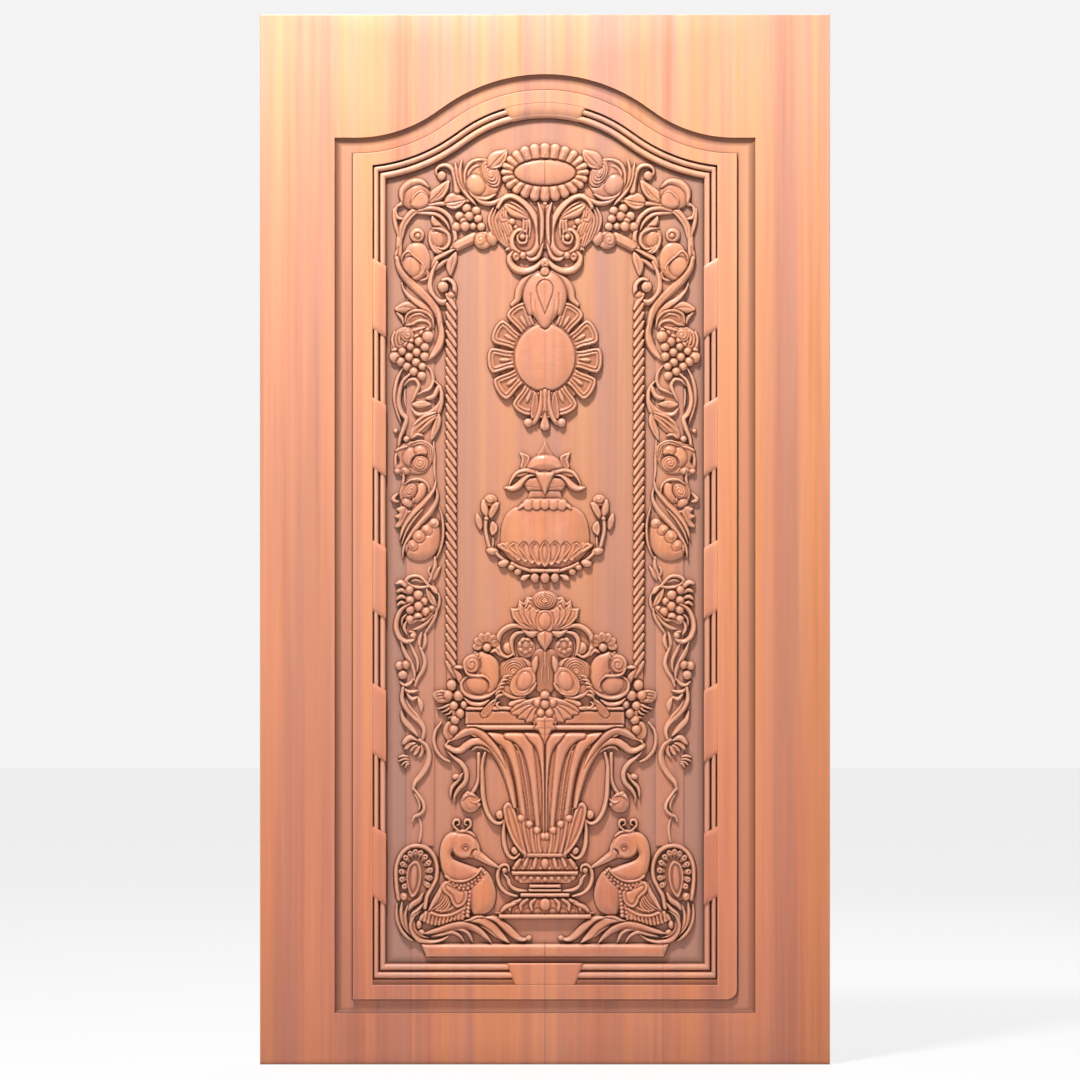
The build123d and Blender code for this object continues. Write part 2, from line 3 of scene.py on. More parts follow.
import bmesh
import bpy
import numpy as np
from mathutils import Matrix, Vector


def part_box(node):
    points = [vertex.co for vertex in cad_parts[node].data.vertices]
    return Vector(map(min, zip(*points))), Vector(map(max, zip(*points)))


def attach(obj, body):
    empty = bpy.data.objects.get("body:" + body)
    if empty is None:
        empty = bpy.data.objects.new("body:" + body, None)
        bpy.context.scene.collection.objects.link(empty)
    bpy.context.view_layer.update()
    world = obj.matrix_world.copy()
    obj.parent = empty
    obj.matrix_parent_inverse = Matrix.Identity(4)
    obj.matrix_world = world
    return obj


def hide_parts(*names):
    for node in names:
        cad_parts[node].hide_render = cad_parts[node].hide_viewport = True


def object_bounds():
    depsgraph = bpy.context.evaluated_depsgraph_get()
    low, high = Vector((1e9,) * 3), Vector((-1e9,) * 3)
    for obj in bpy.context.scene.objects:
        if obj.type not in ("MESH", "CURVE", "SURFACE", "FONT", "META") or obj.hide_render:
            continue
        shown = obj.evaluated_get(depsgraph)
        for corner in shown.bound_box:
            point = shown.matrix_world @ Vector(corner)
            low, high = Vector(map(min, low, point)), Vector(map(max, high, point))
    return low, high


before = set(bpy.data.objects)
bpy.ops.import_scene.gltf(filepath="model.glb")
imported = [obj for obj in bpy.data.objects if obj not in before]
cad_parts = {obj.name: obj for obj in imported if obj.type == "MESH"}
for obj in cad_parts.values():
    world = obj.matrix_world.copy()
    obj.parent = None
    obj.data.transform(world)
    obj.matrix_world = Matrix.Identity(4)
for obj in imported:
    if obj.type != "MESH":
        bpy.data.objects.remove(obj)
cad_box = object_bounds()

# Sizes of the leaf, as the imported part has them, in millimetres
MM = 0.001
leaf_low, leaf_high = cad_box
LEAF_WIDTH = (leaf_high[0] - leaf_low[0]) / MM
LEAF_HEIGHT = (leaf_high[2] - leaf_low[2]) / MM
FRONT_Y = leaf_low[1] / MM
BACK_Y = leaf_high[1] / MM
ARRIS = 2
STILE = 149
FOOT_RAIL = 103
HEAD_RAIL = 119
SHOULDER_DROP = 246
HOLLOW_RADIUS = 278
CROWN_RADIUS = 348
ARCH_SLOPE = radians(35)
CHANNEL_DEPTH = 8
GROUND_DEPTH = 16
GROUND_Y = FRONT_Y + GROUND_DEPTH

# Moulding lines inside the border, each as inset at the side, the foot and the arch
BORDER_LINE = (0, 0, 0)
COVE_LINE = (13, 9, 15)
CHANNEL_LINE = (37, 27, 32)
BAND_LINE = (76, 56, 57)
LEDGE_LINE = (76.6, 67, 57.6)
REED_LINE = (89, 83, 72)
GROUND_LINE = (103, 99, 87)

# Boards and the loose tongues in their seams
BOARDS = ("left_board", "centre_left_board", "centre_right_board", "right_board")
SEAMS = tuple(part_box(name)[1][0] / MM for name in BOARDS[:-1])
EDGES = (-LEAF_WIDTH / 2, *SEAMS, LEAF_WIDTH / 2)
TONGUES = ("left_tongue", "centre_tongue", "right_tongue")
TONGUE_CLEARANCE = 0.2

# The photo's frame: the middle of the leaf, the foot's height, and the millimetres in one pixel
MIDDLE_PX = 545
ZERO_PX = 1064.5
PIXEL = 2.0


def across(px):
    """Millimetres to the right of the leaf's middle, for a column of the photo."""
    return (px - MIDDLE_PX) * PIXEL


def up(py):
    """Millimetres above the leaf's foot, for a row of the photo."""
    return (ZERO_PX - py) * PIXEL


# Board bodies

CORNER_STEPS = 6
ARCH_STEPS = 28
ROUND_STEPS = 8
EDGE_ROUND = 1.2
EDGE_EASE = EDGE_ROUND * 0.3
ARRIS_EASE = ARRIS * 0.3
LEAST_CORNER = 0.8
BAND_CORNER = 19
LEDGE_HEIGHT = 11
OUTER_REED = (3.0, 13.6)
INNER_REED = (1.4, 11.0)

# A reed: the gap beside it and its width as shares, how full it is, and its hollowness at edge and crest,
# which is painted shade in its grooves and a painted highlight on its crest
REED_GAP = 0.04
REED_WIDTH = 0.92
REED_FULLNESS = 0.8
REED_HOLLOW = (0.75, 1.15)

# Rings between two moulding lines. Each starts with the share of the way. The cove's have then their drop
# as a share of the channel's depth, the band's their drop and hollowness, the others their hollowness alone.
# A ring's hollowness paints shade where it is positive and a highlight where it is negative
RIM_START = -0.15
RIM_HOLLOW = -0.1
COVE_HOLLOW = (0.55, 0.35)
COVE_STEPS = ((0.02, 0.12), (0.05, 0.4), (0.16, 0.62), (0.42, 0.84), (0.72, 0.96), (1.0, 1.0))
CHANNEL_STEPS = ((0.12, 0.05), (0.8, 0.05), (0.985, 0.6))
BAND_STEPS = (
    (0.012, EDGE_EASE, -0.25),
    (0.035, 0, -0.2),
    (0.09, 0, 0.0),
    (0.91, 0, 0.0),
    (0.965, 0, -0.2),
    (0.99, EDGE_EASE, -0.2),
)
BAND_EDGE_HOLLOW = 0.1
LEDGE_STEPS = ((0.04, 0.5), (0.93, 0.2))
GROUND_EDGE_HOLLOW = 0.6
GROUND_STEPS = ((1.05, 0.25), (1.16, 0.0))

# Blocks and clasps
CUSHION_EDGE = 0.08
BELLY_START = 0.15
CUSHION_SHARES = (0, 0.012, 0.03, 0.055, 0.08, 0.2, 0.35, 0.5, 0.65, 0.8, 0.92, 0.945, 0.97, 0.988, 1)
BLOCK_SINK = 2.0


def outline(inset, corner):
    """Points round the field, moved in by its inset: the same number of points for every inset."""
    side = LEAF_WIDTH / 2 - STILE - inset[0]
    foot = FOOT_RAIL + inset[1]
    reach = HOLLOW_RADIUS + CROWN_RADIUS
    straight = (SHOULDER_DROP - HEAD_RAIL - reach * (1 - cos(ARCH_SLOPE))) / sin(ARCH_SLOPE)
    hollow_x = reach * sin(ARCH_SLOPE) + straight * cos(ARCH_SLOPE)
    hollow_z = LEAF_HEIGHT - SHOULDER_DROP + HOLLOW_RADIUS
    crown_z = LEAF_HEIGHT - HEAD_RAIL - CROWN_RADIUS
    hollow = HOLLOW_RADIUS + inset[2]
    crown = CROWN_RADIUS - inset[2]
    start = asin(max(0, (hollow_x - side) / hollow))
    shoulder = hollow_z - hollow * cos(start)
    if start > 0:
        start += radians(0.4)
    half = []
    for step in range(CORNER_STEPS + 1):
        angle = -pi / 2 + pi / 2 * step / CORNER_STEPS
        half.append((cos(angle), sin(angle)))
    right = [(side + corner[1] * (x - 1), foot + corner[1] * (z + 1)) for x, z in half]
    left = [(-side - corner[0] * (x - 1), foot + corner[0] * (z + 1)) for x, z in half]
    arch = [(side, shoulder)]
    for step in range(ARCH_STEPS + 1):
        angle = start + (ARCH_SLOPE - start) * step / ARCH_STEPS
        arch.append((hollow_x - hollow * sin(angle), hollow_z - hollow * cos(angle)))
    for step in range(ARCH_STEPS + 1):
        angle = ARCH_SLOPE * (1 - step / ARCH_STEPS)
        arch.append((crown * sin(angle), crown_z + crown * cos(angle)))
    back = [(-x, z) for x, z in reversed(arch[:-1])]
    return right + arch + back + left[::-1]


def between(first, last, share):
    """A moulding line part of the way between two others."""
    return tuple(a + (b - a) * share for a, b in zip(first, last))


def reed_profile(first, last, base, crest):
    """A half-round reed between two lines: line, height above the ground and how hollow it is there, as
    painted shade in the grooves and a painted highlight on the crest.
    """
    rings = []
    for step in range(ROUND_STEPS + 1):
        angle = pi * step / ROUND_STEPS
        share = 0.5 - 0.5 * cos(angle)
        rise = sin(angle) ** REED_FULLNESS
        line = between(first, last, REED_GAP + REED_WIDTH * share)
        rings.append((line, base + (crest - base) * rise, REED_HOLLOW[0] - REED_HOLLOW[1] * rise))
    return rings


def moulding_rings():
    """The rings of the moulded front, from the border to the ground: line, height, hollowness, which is
    painted shade where positive and a painted highlight where negative.
    """
    full = GROUND_DEPTH
    low = GROUND_DEPTH - CHANNEL_DEPTH
    rings = [(between(BORDER_LINE, COVE_LINE, RIM_START), full, 0.0), (BORDER_LINE, full, RIM_HOLLOW)]
    for share, drop in COVE_STEPS:
        hollow = COVE_HOLLOW[0] - COVE_HOLLOW[1] * share
        rings.append((between(BORDER_LINE, COVE_LINE, share), full - CHANNEL_DEPTH * drop, hollow))
    for share, hollow in CHANNEL_STEPS:
        rings.append((between(COVE_LINE, CHANNEL_LINE, share), low, hollow))
    rings.append((between(COVE_LINE, CHANNEL_LINE, 1.0), full - EDGE_ROUND, 0.0))
    for share, drop, hollow in BAND_STEPS:
        rings.append((between(CHANNEL_LINE, BAND_LINE, share), full - drop, hollow))
    rings.append((BAND_LINE, full - EDGE_ROUND, BAND_EDGE_HOLLOW))
    for share, hollow in LEDGE_STEPS:
        rings.append((between(BAND_LINE, LEDGE_LINE, share), LEDGE_HEIGHT, hollow))
    rings += reed_profile(LEDGE_LINE, REED_LINE, *OUTER_REED)
    rings += reed_profile(REED_LINE, GROUND_LINE, *INNER_REED)
    rings.append((GROUND_LINE, 0, GROUND_EDGE_HOLLOW))
    for share, hollow in GROUND_STEPS:
        rings.append((between(BORDER_LINE, GROUND_LINE, share), 0, hollow))
    return rings


def leaf_shell():
    """The whole leaf as one closed shell, before it is cut into boards."""
    shell = bmesh.new()
    # The cavity layer carries painted shade for the grooves and painted highlight for the arrises to the
    # material
    hollow_at = shell.verts.layers.float.new("cavity")

    def ring_of(points, height, hollow):
        ring = [shell.verts.new((x * MM, (GROUND_Y - height) * MM, z * MM)) for x, z in points]
        for vertex in ring:
            vertex[hollow_at] = hollow
        return ring

    def bridge(first, second):
        for k in range(len(first)):
            nxt = (k + 1) % len(first)
            shell.faces.new((first[k], first[nxt], second[nxt], second[k]))

    rings = []
    for line, height, hollow in moulding_rings():
        share = max(0.0, 1 - abs(line[0] - CHANNEL_LINE[0]) / (CHANNEL_LINE[0] - COVE_LINE[0]))
        corner = (LEAST_CORNER, LEAST_CORNER + BAND_CORNER * share)
        rings.append(ring_of(outline(line, corner), height, hollow))
    for first, second in zip(rings, rings[1:]):
        bridge(first, second)
    shell.faces.new(rings[-1])
    half = LEAF_WIDTH / 2

    def rectangle(inset, y):
        corners = (
            (-half + inset, inset),
            (half - inset, inset),
            (half - inset, LEAF_HEIGHT - inset),
            (-half + inset, LEAF_HEIGHT - inset),
        )
        return [shell.verts.new((x * MM, y * MM, z * MM)) for x, z in corners]

    edge_rings = [
        rectangle(ARRIS, FRONT_Y),
        rectangle(ARRIS_EASE, FRONT_Y + ARRIS_EASE),
        rectangle(0, FRONT_Y + ARRIS),
        rectangle(0, BACK_Y - ARRIS),
        rectangle(ARRIS_EASE, BACK_Y - ARRIS_EASE),
        rectangle(ARRIS, BACK_Y),
    ]
    for first, second in zip(edge_rings, edge_rings[1:]):
        bridge(second, first)
    shell.faces.new(edge_rings[-1])
    front_edges = []
    for loop in (rings[0], edge_rings[0]):
        for k in range(len(loop)):
            pair = (loop[k], loop[(k + 1) % len(loop)])
            front_edges.append(shell.edges.get(pair) or shell.edges.new(pair))
    bmesh.ops.triangle_fill(shell, use_beauty=True, use_dissolve=False, edges=front_edges)
    bmesh.ops.recalc_face_normals(shell, faces=shell.faces)
    return shell


def cut_board(shell, left, right):
    """One board of the leaf: the shell between two seams, its cut faces closed round the groove."""
    board = shell.copy()
    for seam, keep in ((left, 1), (right, -1)):
        if seam not in SEAMS:
            continue
        geometry = board.verts[:] + board.edges[:] + board.faces[:]
        bmesh.ops.bisect_plane(
            board,
            geom=geometry,
            plane_co=(seam * MM, 0, 0),
            plane_no=(1, 0, 0),
            clear_outer=keep < 0,
            clear_inner=keep > 0,
            dist=1e-7,
        )
        rim = [edge for edge in board.edges if edge.is_boundary]
        low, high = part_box(TONGUES[SEAMS.index(seam)])
        reach = (high[0] - low[0]) / 2 / MM + TONGUE_CLEARANCE
        y_low, y_high = low[1] / MM - TONGUE_CLEARANCE, high[1] / MM + TONGUE_CLEARANCE
        z_low, z_high = low[2] / MM - TONGUE_CLEARANCE, high[2] / MM + TONGUE_CLEARANCE
        mouth = []
        floor = []
        for y, z in ((y_low, z_low), (y_high, z_low), (y_high, z_high), (y_low, z_high)):
            mouth.append(board.verts.new((seam * MM, y * MM, z * MM)))
            floor.append(board.verts.new(((seam + keep * reach) * MM, y * MM, z * MM)))
        mouth_edges = [board.edges.new((mouth[k], mouth[(k + 1) % 4])) for k in range(4)]
        bmesh.ops.triangle_fill(board, use_beauty=True, use_dissolve=False, edges=rim + mouth_edges)
        for k in range(4):
            nxt = (k + 1) % 4
            board.faces.new((mouth[k], mouth[nxt], floor[nxt], floor[k]))
        board.faces.new(floor)
    bmesh.ops.recalc_face_normals(board, faces=board.faces)
    return board


def finish_piece(mesh, name, node, material):
    """Puts a mesh in the scene as a piece that rides on the leaf and stands for its node."""
    piece = bpy.data.objects.new(name, mesh)
    bpy.context.scene.collection.objects.link(piece)
    mesh.materials.append(material)
    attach(piece, "root")
    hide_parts(node)
    return piece


def shade(mesh, angle=32):
    """Smooth shading with creases where faces meet at more than an angle in degrees."""
    mesh.shade_smooth()
    mesh.set_sharp_from_angle(angle=radians(angle))


def cushion_mesh(name, place, height, drops, belly=0.0):
    """A raised block across the mouldings. place gives its point for a share along and a share inward;
    drops are how far its start, end, outer and inner edges are rounded down, and belly is how far its
    whole face bends back towards the inner edge."""
    form = bmesh.new()
    start, end, outer, inner = drops
    grid = []
    for inward in CUSHION_SHARES:
        line = []
        for along in CUSHION_SHARES:
            drop = start * rounding(along) + end * rounding(1 - along)
            drop += outer * rounding(inward) + inner * rounding(1 - inward)
            drop += belly * max(0.0, (inward - BELLY_START) / (1 - BELLY_START)) ** 2
            x, z = place(along, inward)
            line.append(form.verts.new((x * MM, (GROUND_Y - height + drop) * MM, z * MM)))
        grid.append(line)
    for first, second in zip(grid, grid[1:]):
        for k in range(len(first) - 1):
            form.faces.new((first[k], first[k + 1], second[k + 1], second[k]))
    rim = grid[0] + [row[-1] for row in grid[1:-1]] + grid[-1][::-1] + [row[0] for row in grid[-2:0:-1]]
    foot = [form.verts.new((v.co.x, (GROUND_Y + BLOCK_SINK) * MM, v.co.z)) for v in rim]
    for k in range(len(rim)):
        nxt = (k + 1) % len(rim)
        form.faces.new((rim[k], rim[nxt], foot[nxt], foot[k]))
    form.faces.new(foot)
    bmesh.ops.recalc_face_normals(form, faces=form.faces)
    mesh = bpy.data.meshes.new(name)
    form.to_mesh(mesh)
    form.free()
    return mesh


def rounding(share):
    """How far a rounded edge has dropped, from 1 at the edge to 0 at a little way in."""
    return max(0.0, 1 - share / CUSHION_EDGE) ** 2


# Relief: heights in millimetres above the sunk ground, on a grid of photo pixels, for the left half

CELL = 0.645
HALF_FIELD = 161.25
FIELD_ROWS = 850
HALF_COLUMNS = int(round(HALF_FIELD / CELL))
FIRST_COLUMN = MIDDLE_PX - CELL * HALF_COLUMNS
FIRST_ROW = 116.25
ROWS = int(round(FIELD_ROWS / CELL)) + 1
FAR = 1e6
TINY = 1e-9

# The height of what isn't carved, of the pieces' undersides in the wood, and how steep a form's side is
RECESS = -1.6
BOTTOM = -2.4
WALL_SLOPE = 3.6
SPREAD = 0.35

# The groove that a form cuts round itself, in depth and width
CUT = 2.4
REACH = 1.4

# A form's height across it, for a share from -1 to 1, and its width along it, for a share from 0 to 1

PROFILES = {
    "round": lambda v: np.sqrt(np.clip(1 - v * v, 0, 1)),
    "ridge": lambda v: 1 - 0.85 * np.abs(v),
    "flat": lambda v: np.clip((1 - np.abs(v)) * 3.0, 0, 1) ** 0.6,
    "hollow": lambda v: (0.4 + 0.6 * np.clip(np.abs(v) / 0.72, 0, 1) ** 2)
    * np.clip((1 - np.abs(v)) * 4.0, 0, 1) ** 0.7,
    "vein": lambda v: np.sqrt(np.clip(1 - v * v, 0, 1)) * (1 - 0.5 * np.exp(-((v / 0.17) ** 2))),
    "left": lambda v: np.where(v < 0.4, np.sqrt(np.clip(1 - ((v - 0.4) / 1.4) ** 2, 0, 1)),
                               1 - (v - 0.4) / 0.6),
    "right": lambda v: np.where(v > -0.4, np.sqrt(np.clip(1 - ((v + 0.4) / 1.4) ** 2, 0, 1)),
                                1 + (v + 0.4) / 0.6),
}

ENDS = {
    "even": lambda u: np.ones_like(u),
    "tip": lambda u: np.clip(1.03 - u, 0.02, 1) ** 0.6,
    "tail": lambda u: np.clip(0.03 + u, 0.02, 1) ** 0.6,
    "both": lambda u: np.sin(pi * np.clip(u, 0.015, 0.985)) ** 0.6,
    "leaf": lambda u: np.sin(pi * np.clip(u, 0.012, 0.995) ** 0.75) ** 0.8,
    "drop": lambda u: np.sin(pi * np.clip(u, 0.012, 0.995) ** 1.5) ** 0.75,
    "swell": lambda u: 0.55 + 0.45 * np.sin(pi * u),
}


def curve_through(points, spacing=1.0, closed=False):
    """Points along a smooth curve through the given ones."""
    pts = np.array(points, float)
    if closed:
        knots = np.vstack([pts[-1], pts, pts[0], pts[1]])
    else:
        knots = np.vstack([2 * pts[0] - pts[1], pts, 2 * pts[-1] - pts[-2]])
    line = []
    for k in range(1, len(knots) - 2):
        a, b, c, d = knots[k - 1 : k + 3]
        count = max(2, int(np.hypot(*(c - b)) / spacing))
        t = (np.arange(count) / count)[:, None]
        line.append(
            0.5 * (2 * b + (c - a) * t + (2 * a - 5 * b + 4 * c - d) * t**2 + (3 * b - a - 3 * c + d) * t**3)
        )
    if not closed:
        line.append(knots[-2][None])
    return np.vstack(line)


class Relief:
    """The carving of the left half as a height at each grid point, and which motif each point is in."""

    def __init__(self):
        self.x = FIRST_COLUMN + CELL * np.arange(HALF_COLUMNS + 1)
        self.y = FIRST_ROW + CELL * np.arange(ROWS)
        self.height = np.full((ROWS, HALF_COLUMNS + 1), RECESS)
        self.owner = np.zeros((ROWS, HALF_COLUMNS + 1), np.int16)
        self.motif = 0

    def window(self, x_low, x_high, y_low, y_high, margin):
        """The part of the grid round a form, or None where it lies outside."""
        i0 = max(0, int((x_low - margin - self.x[0]) / CELL))
        i1 = min(len(self.x), int((x_high + margin - self.x[0]) / CELL) + 2)
        j0 = max(0, int((y_low - margin - self.y[0]) / CELL))
        j1 = min(len(self.y), int((y_high + margin - self.y[0]) / CELL) + 2)
        if i0 >= i1 or j0 >= j1:
            return None
        return slice(j0, j1), slice(i0, i1)

    def lay(self, part, distance, form, cut, reach):
        """Lays a form over what is there. Outside its edge it falls steeply and cuts a groove."""
        distance = distance + SPREAD
        old = self.height[part]
        near = np.clip(1 - distance / reach, 0, 1)
        trimmed = old - cut * near * near * (old > 0)
        wall = np.maximum(form - WALL_SLOPE * np.maximum(distance, 0), RECESS)
        inside = distance < 0
        new = np.where(inside, form, np.maximum(trimmed, wall))
        self.height[part] = new
        taken = inside | ((wall > trimmed) & (wall > RECESS))
        self.owner[part] = np.where(taken, self.motif, self.owner[part])

    def band(self, points, width, crest=9.5, edge=3.5, profile="round", ends="even", cut=CUT, reach=REACH,
             fall=0.0):
        """A form along a curve: a stem, scroll, ribbon or leaf. fall lowers its far end."""
        line = curve_through(points)
        steps = np.hypot(*np.diff(line, axis=0).T)
        along = np.concatenate([[0], np.cumsum(steps)])
        half = width / 2
        pad = half + reach + 2.0
        part = self.window(line[:, 0].min(), line[:, 0].max(), line[:, 1].min(), line[:, 1].max(), pad)
        if part is None:
            return
        rows, columns = part
        shape = (rows.stop - rows.start, columns.stop - columns.start)
        best = np.full(shape, FAR)
        share = np.zeros(shape)
        side = np.ones(shape)
        for k in range(len(line) - 1):
            a, b = line[k], line[k + 1]
            sub = self.window(min(a[0], b[0]), max(a[0], b[0]), min(a[1], b[1]), max(a[1], b[1]), pad)
            if sub is None:
                continue
            gx = self.x[sub[1]][None, :]
            gy = self.y[sub[0]][:, None]
            local = (
                slice(sub[0].start - rows.start, sub[0].stop - rows.start),
                slice(sub[1].start - columns.start, sub[1].stop - columns.start),
            )
            run = b - a
            t = np.clip(((gx - a[0]) * run[0] + (gy - a[1]) * run[1]) / max(TINY, run @ run), 0, 1)
            dx = gx - a[0] - t * run[0]
            dy = gy - a[1] - t * run[1]
            gap = np.hypot(dx, dy)
            closer = gap < best[local]
            best[local] = np.where(closer, gap, best[local])
            share[local] = np.where(closer, (along[k] + t * steps[k]) / along[-1], share[local])
            side[local] = np.where(closer, np.where(run[0] * dy - run[1] * dx < 0, -1, 1), side[local])
        reach_here = half * ENDS[ends](share)
        v = np.clip(best / np.maximum(reach_here, 1e-6), 0, 1) * side
        drop = 1 - fall * share
        form = edge * drop + (crest - edge) * drop * np.clip(PROFILES[profile](v), 0, 1)
        self.lay(part, best - reach_here, form, cut, reach)

    def dome(self, x, y, rx, ry=None, crest=11.0, edge=3.5, turn=0.0, power=0.5, cut=CUT, reach=REACH):
        """A rounded oval: a berry, bead, petal or body. turn is in degrees, clockwise in the photo."""
        ry = ry or rx
        part = self.window(x - max(rx, ry), x + max(rx, ry), y - max(rx, ry), y + max(rx, ry), reach + 2)
        if part is None:
            return
        gx = self.x[part[1]][None, :] - x
        gy = self.y[part[0]][:, None] - y
        angle = radians(turn)
        q = np.hypot((gx * cos(angle) + gy * sin(angle)) / rx, (gy * cos(angle) - gx * sin(angle)) / ry)
        form = edge + (crest - edge) * np.clip(1 - q * q, 0, 1) ** power
        self.lay(part, (q - 1) * min(rx, ry), form, cut, reach)

    def pillow(self, points, crest=11.0, edge=3.5, rim=5.0, cut=CUT, reach=REACH, sharp=False, rims=(),
               fall=(0.0, 0.0)):
        """A closed form with rounded edges. rims are ridges that follow its outline, each as how far in,
        how wide and how high. fall slopes its top, in millimetres a pixel across and down."""
        line = np.array(points, float)
        if not sharp:
            line = curve_through(points, 1.5, closed=True)
        part = self.window(line[:, 0].min(), line[:, 0].max(), line[:, 1].min(), line[:, 1].max(), reach + 2)
        if part is None:
            return
        gx = self.x[part[1]][None, :]
        gy = self.y[part[0]][:, None]
        gap = self.gap_to(line, part, True)
        t = np.clip(-gap / rim, 0, 1)
        middle = line.mean(axis=0)
        top = crest + fall[0] * (gx - middle[0]) + fall[1] * (gy - middle[1])
        form = edge + (top - edge) * np.sqrt(np.clip(1 - (1 - t) ** 2, 0, 1))
        for place, width, height in rims:
            form = form + height * np.exp(-(((-gap - place) / width) ** 2))
        self.lay(part, gap, form, cut, reach)

    def swirl(self, x, y, rx, ry, turn=0.0, crest=13.0, edge=4.0, rings=4.0, depth=2.6, start=0.0, power=0.5,
              cut=CUT, reach=REACH):
        """A rounded oval whose surface is one petal coiled inward, like the heart of a rose."""
        part = self.window(x - max(rx, ry), x + max(rx, ry), y - max(rx, ry), y + max(rx, ry), reach + 2)
        if part is None:
            return
        gx = self.x[part[1]][None, :] - x
        gy = self.y[part[0]][:, None] - y
        angle = radians(turn)
        u = (gx * cos(angle) + gy * sin(angle)) / rx
        w = (gy * cos(angle) - gx * sin(angle)) / ry
        q = np.hypot(u, w)
        phase = q * rings - np.arctan2(w, u) / (2 * pi) + start
        step = phase - np.floor(phase)
        fold = np.where(step < 0.72, (step / 0.72) ** 1.5, (1 - step) / 0.28)
        form = (edge + (crest - edge) * np.clip(1 - q * q, 0, 1) ** power
                - depth * (1 - fold) * np.clip(q * 5, 0.35, 1))
        self.lay(part, (q - 1) * min(rx, ry), form, cut, reach)

    def beads(self, points, count, r, crest, edge, cut=1.6, reach=0.8):
        """Beads evenly along a curve."""
        line = curve_through(points, 0.5)
        along = np.concatenate([[0], np.cumsum(np.hypot(*np.diff(line, axis=0).T))])
        for place in np.linspace(0, along[-1], count):
            k = int(np.searchsorted(along, place).clip(0, len(line) - 1))
            self.dome(line[k][0], line[k][1], r, r, crest, edge, cut=cut, reach=reach)

    def mirrored(self, half):
        """A closed outline from its left half, given from the top down, about the middle of the leaf."""
        return [tuple(p) for p in half] + [(2 * MIDDLE_PX - x, y) for x, y in reversed(half)]

    def gap_to(self, line, part, closed):
        """Distance from a line, negative inside it where it is closed."""
        gx = self.x[part[1]][None, :]
        gy = self.y[part[0]][:, None]
        best = np.full((gy.shape[0], gx.shape[1]), FAR)
        inside = np.zeros(best.shape, bool)
        pairs = list(zip(line, line[1:]))
        if closed:
            pairs.append((line[-1], line[0]))
        for a, b in pairs:
            run = b - a
            t = np.clip(((gx - a[0]) * run[0] + (gy - a[1]) * run[1]) / max(TINY, run @ run), 0, 1)
            best = np.minimum(best, np.hypot(gx - a[0] - t * run[0], gy - a[1] - t * run[1]))
            if closed and a[1] != b[1]:
                crossing = a[0] + (gy - a[1]) / (b[1] - a[1]) * run[0]
                inside ^= ((a[1] > gy) != (b[1] > gy)) & (gx < crossing)
        return np.where(inside, -best, best)

    def cut_line(self, points, width=1.5, depth=2.2):
        """A V-cut along a curve, only where there is carving."""
        line = curve_through(points, 1.5)
        part = self.window(line[:, 0].min(), line[:, 0].max(), line[:, 1].min(), line[:, 1].max(), width)
        if part is None:
            return
        bite = np.clip(1 - self.gap_to(line, part, False) / (width / 2), 0, 1)
        self.height[part] -= depth * bite * (self.height[part] > 0.5)

    def grapes(self, berries, crest=11.5):
        """Berries, each (x, y, radius), the later ones over the earlier."""
        for x, y, r in berries:
            self.dome(x, y, r * 0.98, r * 0.98, crest - 3 + r * 0.5, 3.5, cut=2.8)


# Motifs of the left half, each painted from its lowest form to its highest. Points are photo pixels.


def rope(r):
    """Steep strands side by side, ending in a small bulb."""
    top, foot, pitch = 297.0, 680.0, 9.2
    r.band(((451, top - 2), (451, (top + foot) / 2), (451, foot)), 9.4, 6.0, 2.5)
    for step in range(int((foot - top) / pitch)):
        y = top + (step + 0.5) * pitch
        points = ((446.6, y - 7.4), (448.4, y - 4.2), (451, y), (453.6, y + 4.2), (455.4, y + 7.4))
        r.band(points, 5.9, 10.8, 4.0, "round", "swell", cut=3.0, reach=1.1)
    r.dome(451.5, 685, 5.2, 5.6, 11)
    r.dome(451, 295, 4.4, 3.6, 8.5)


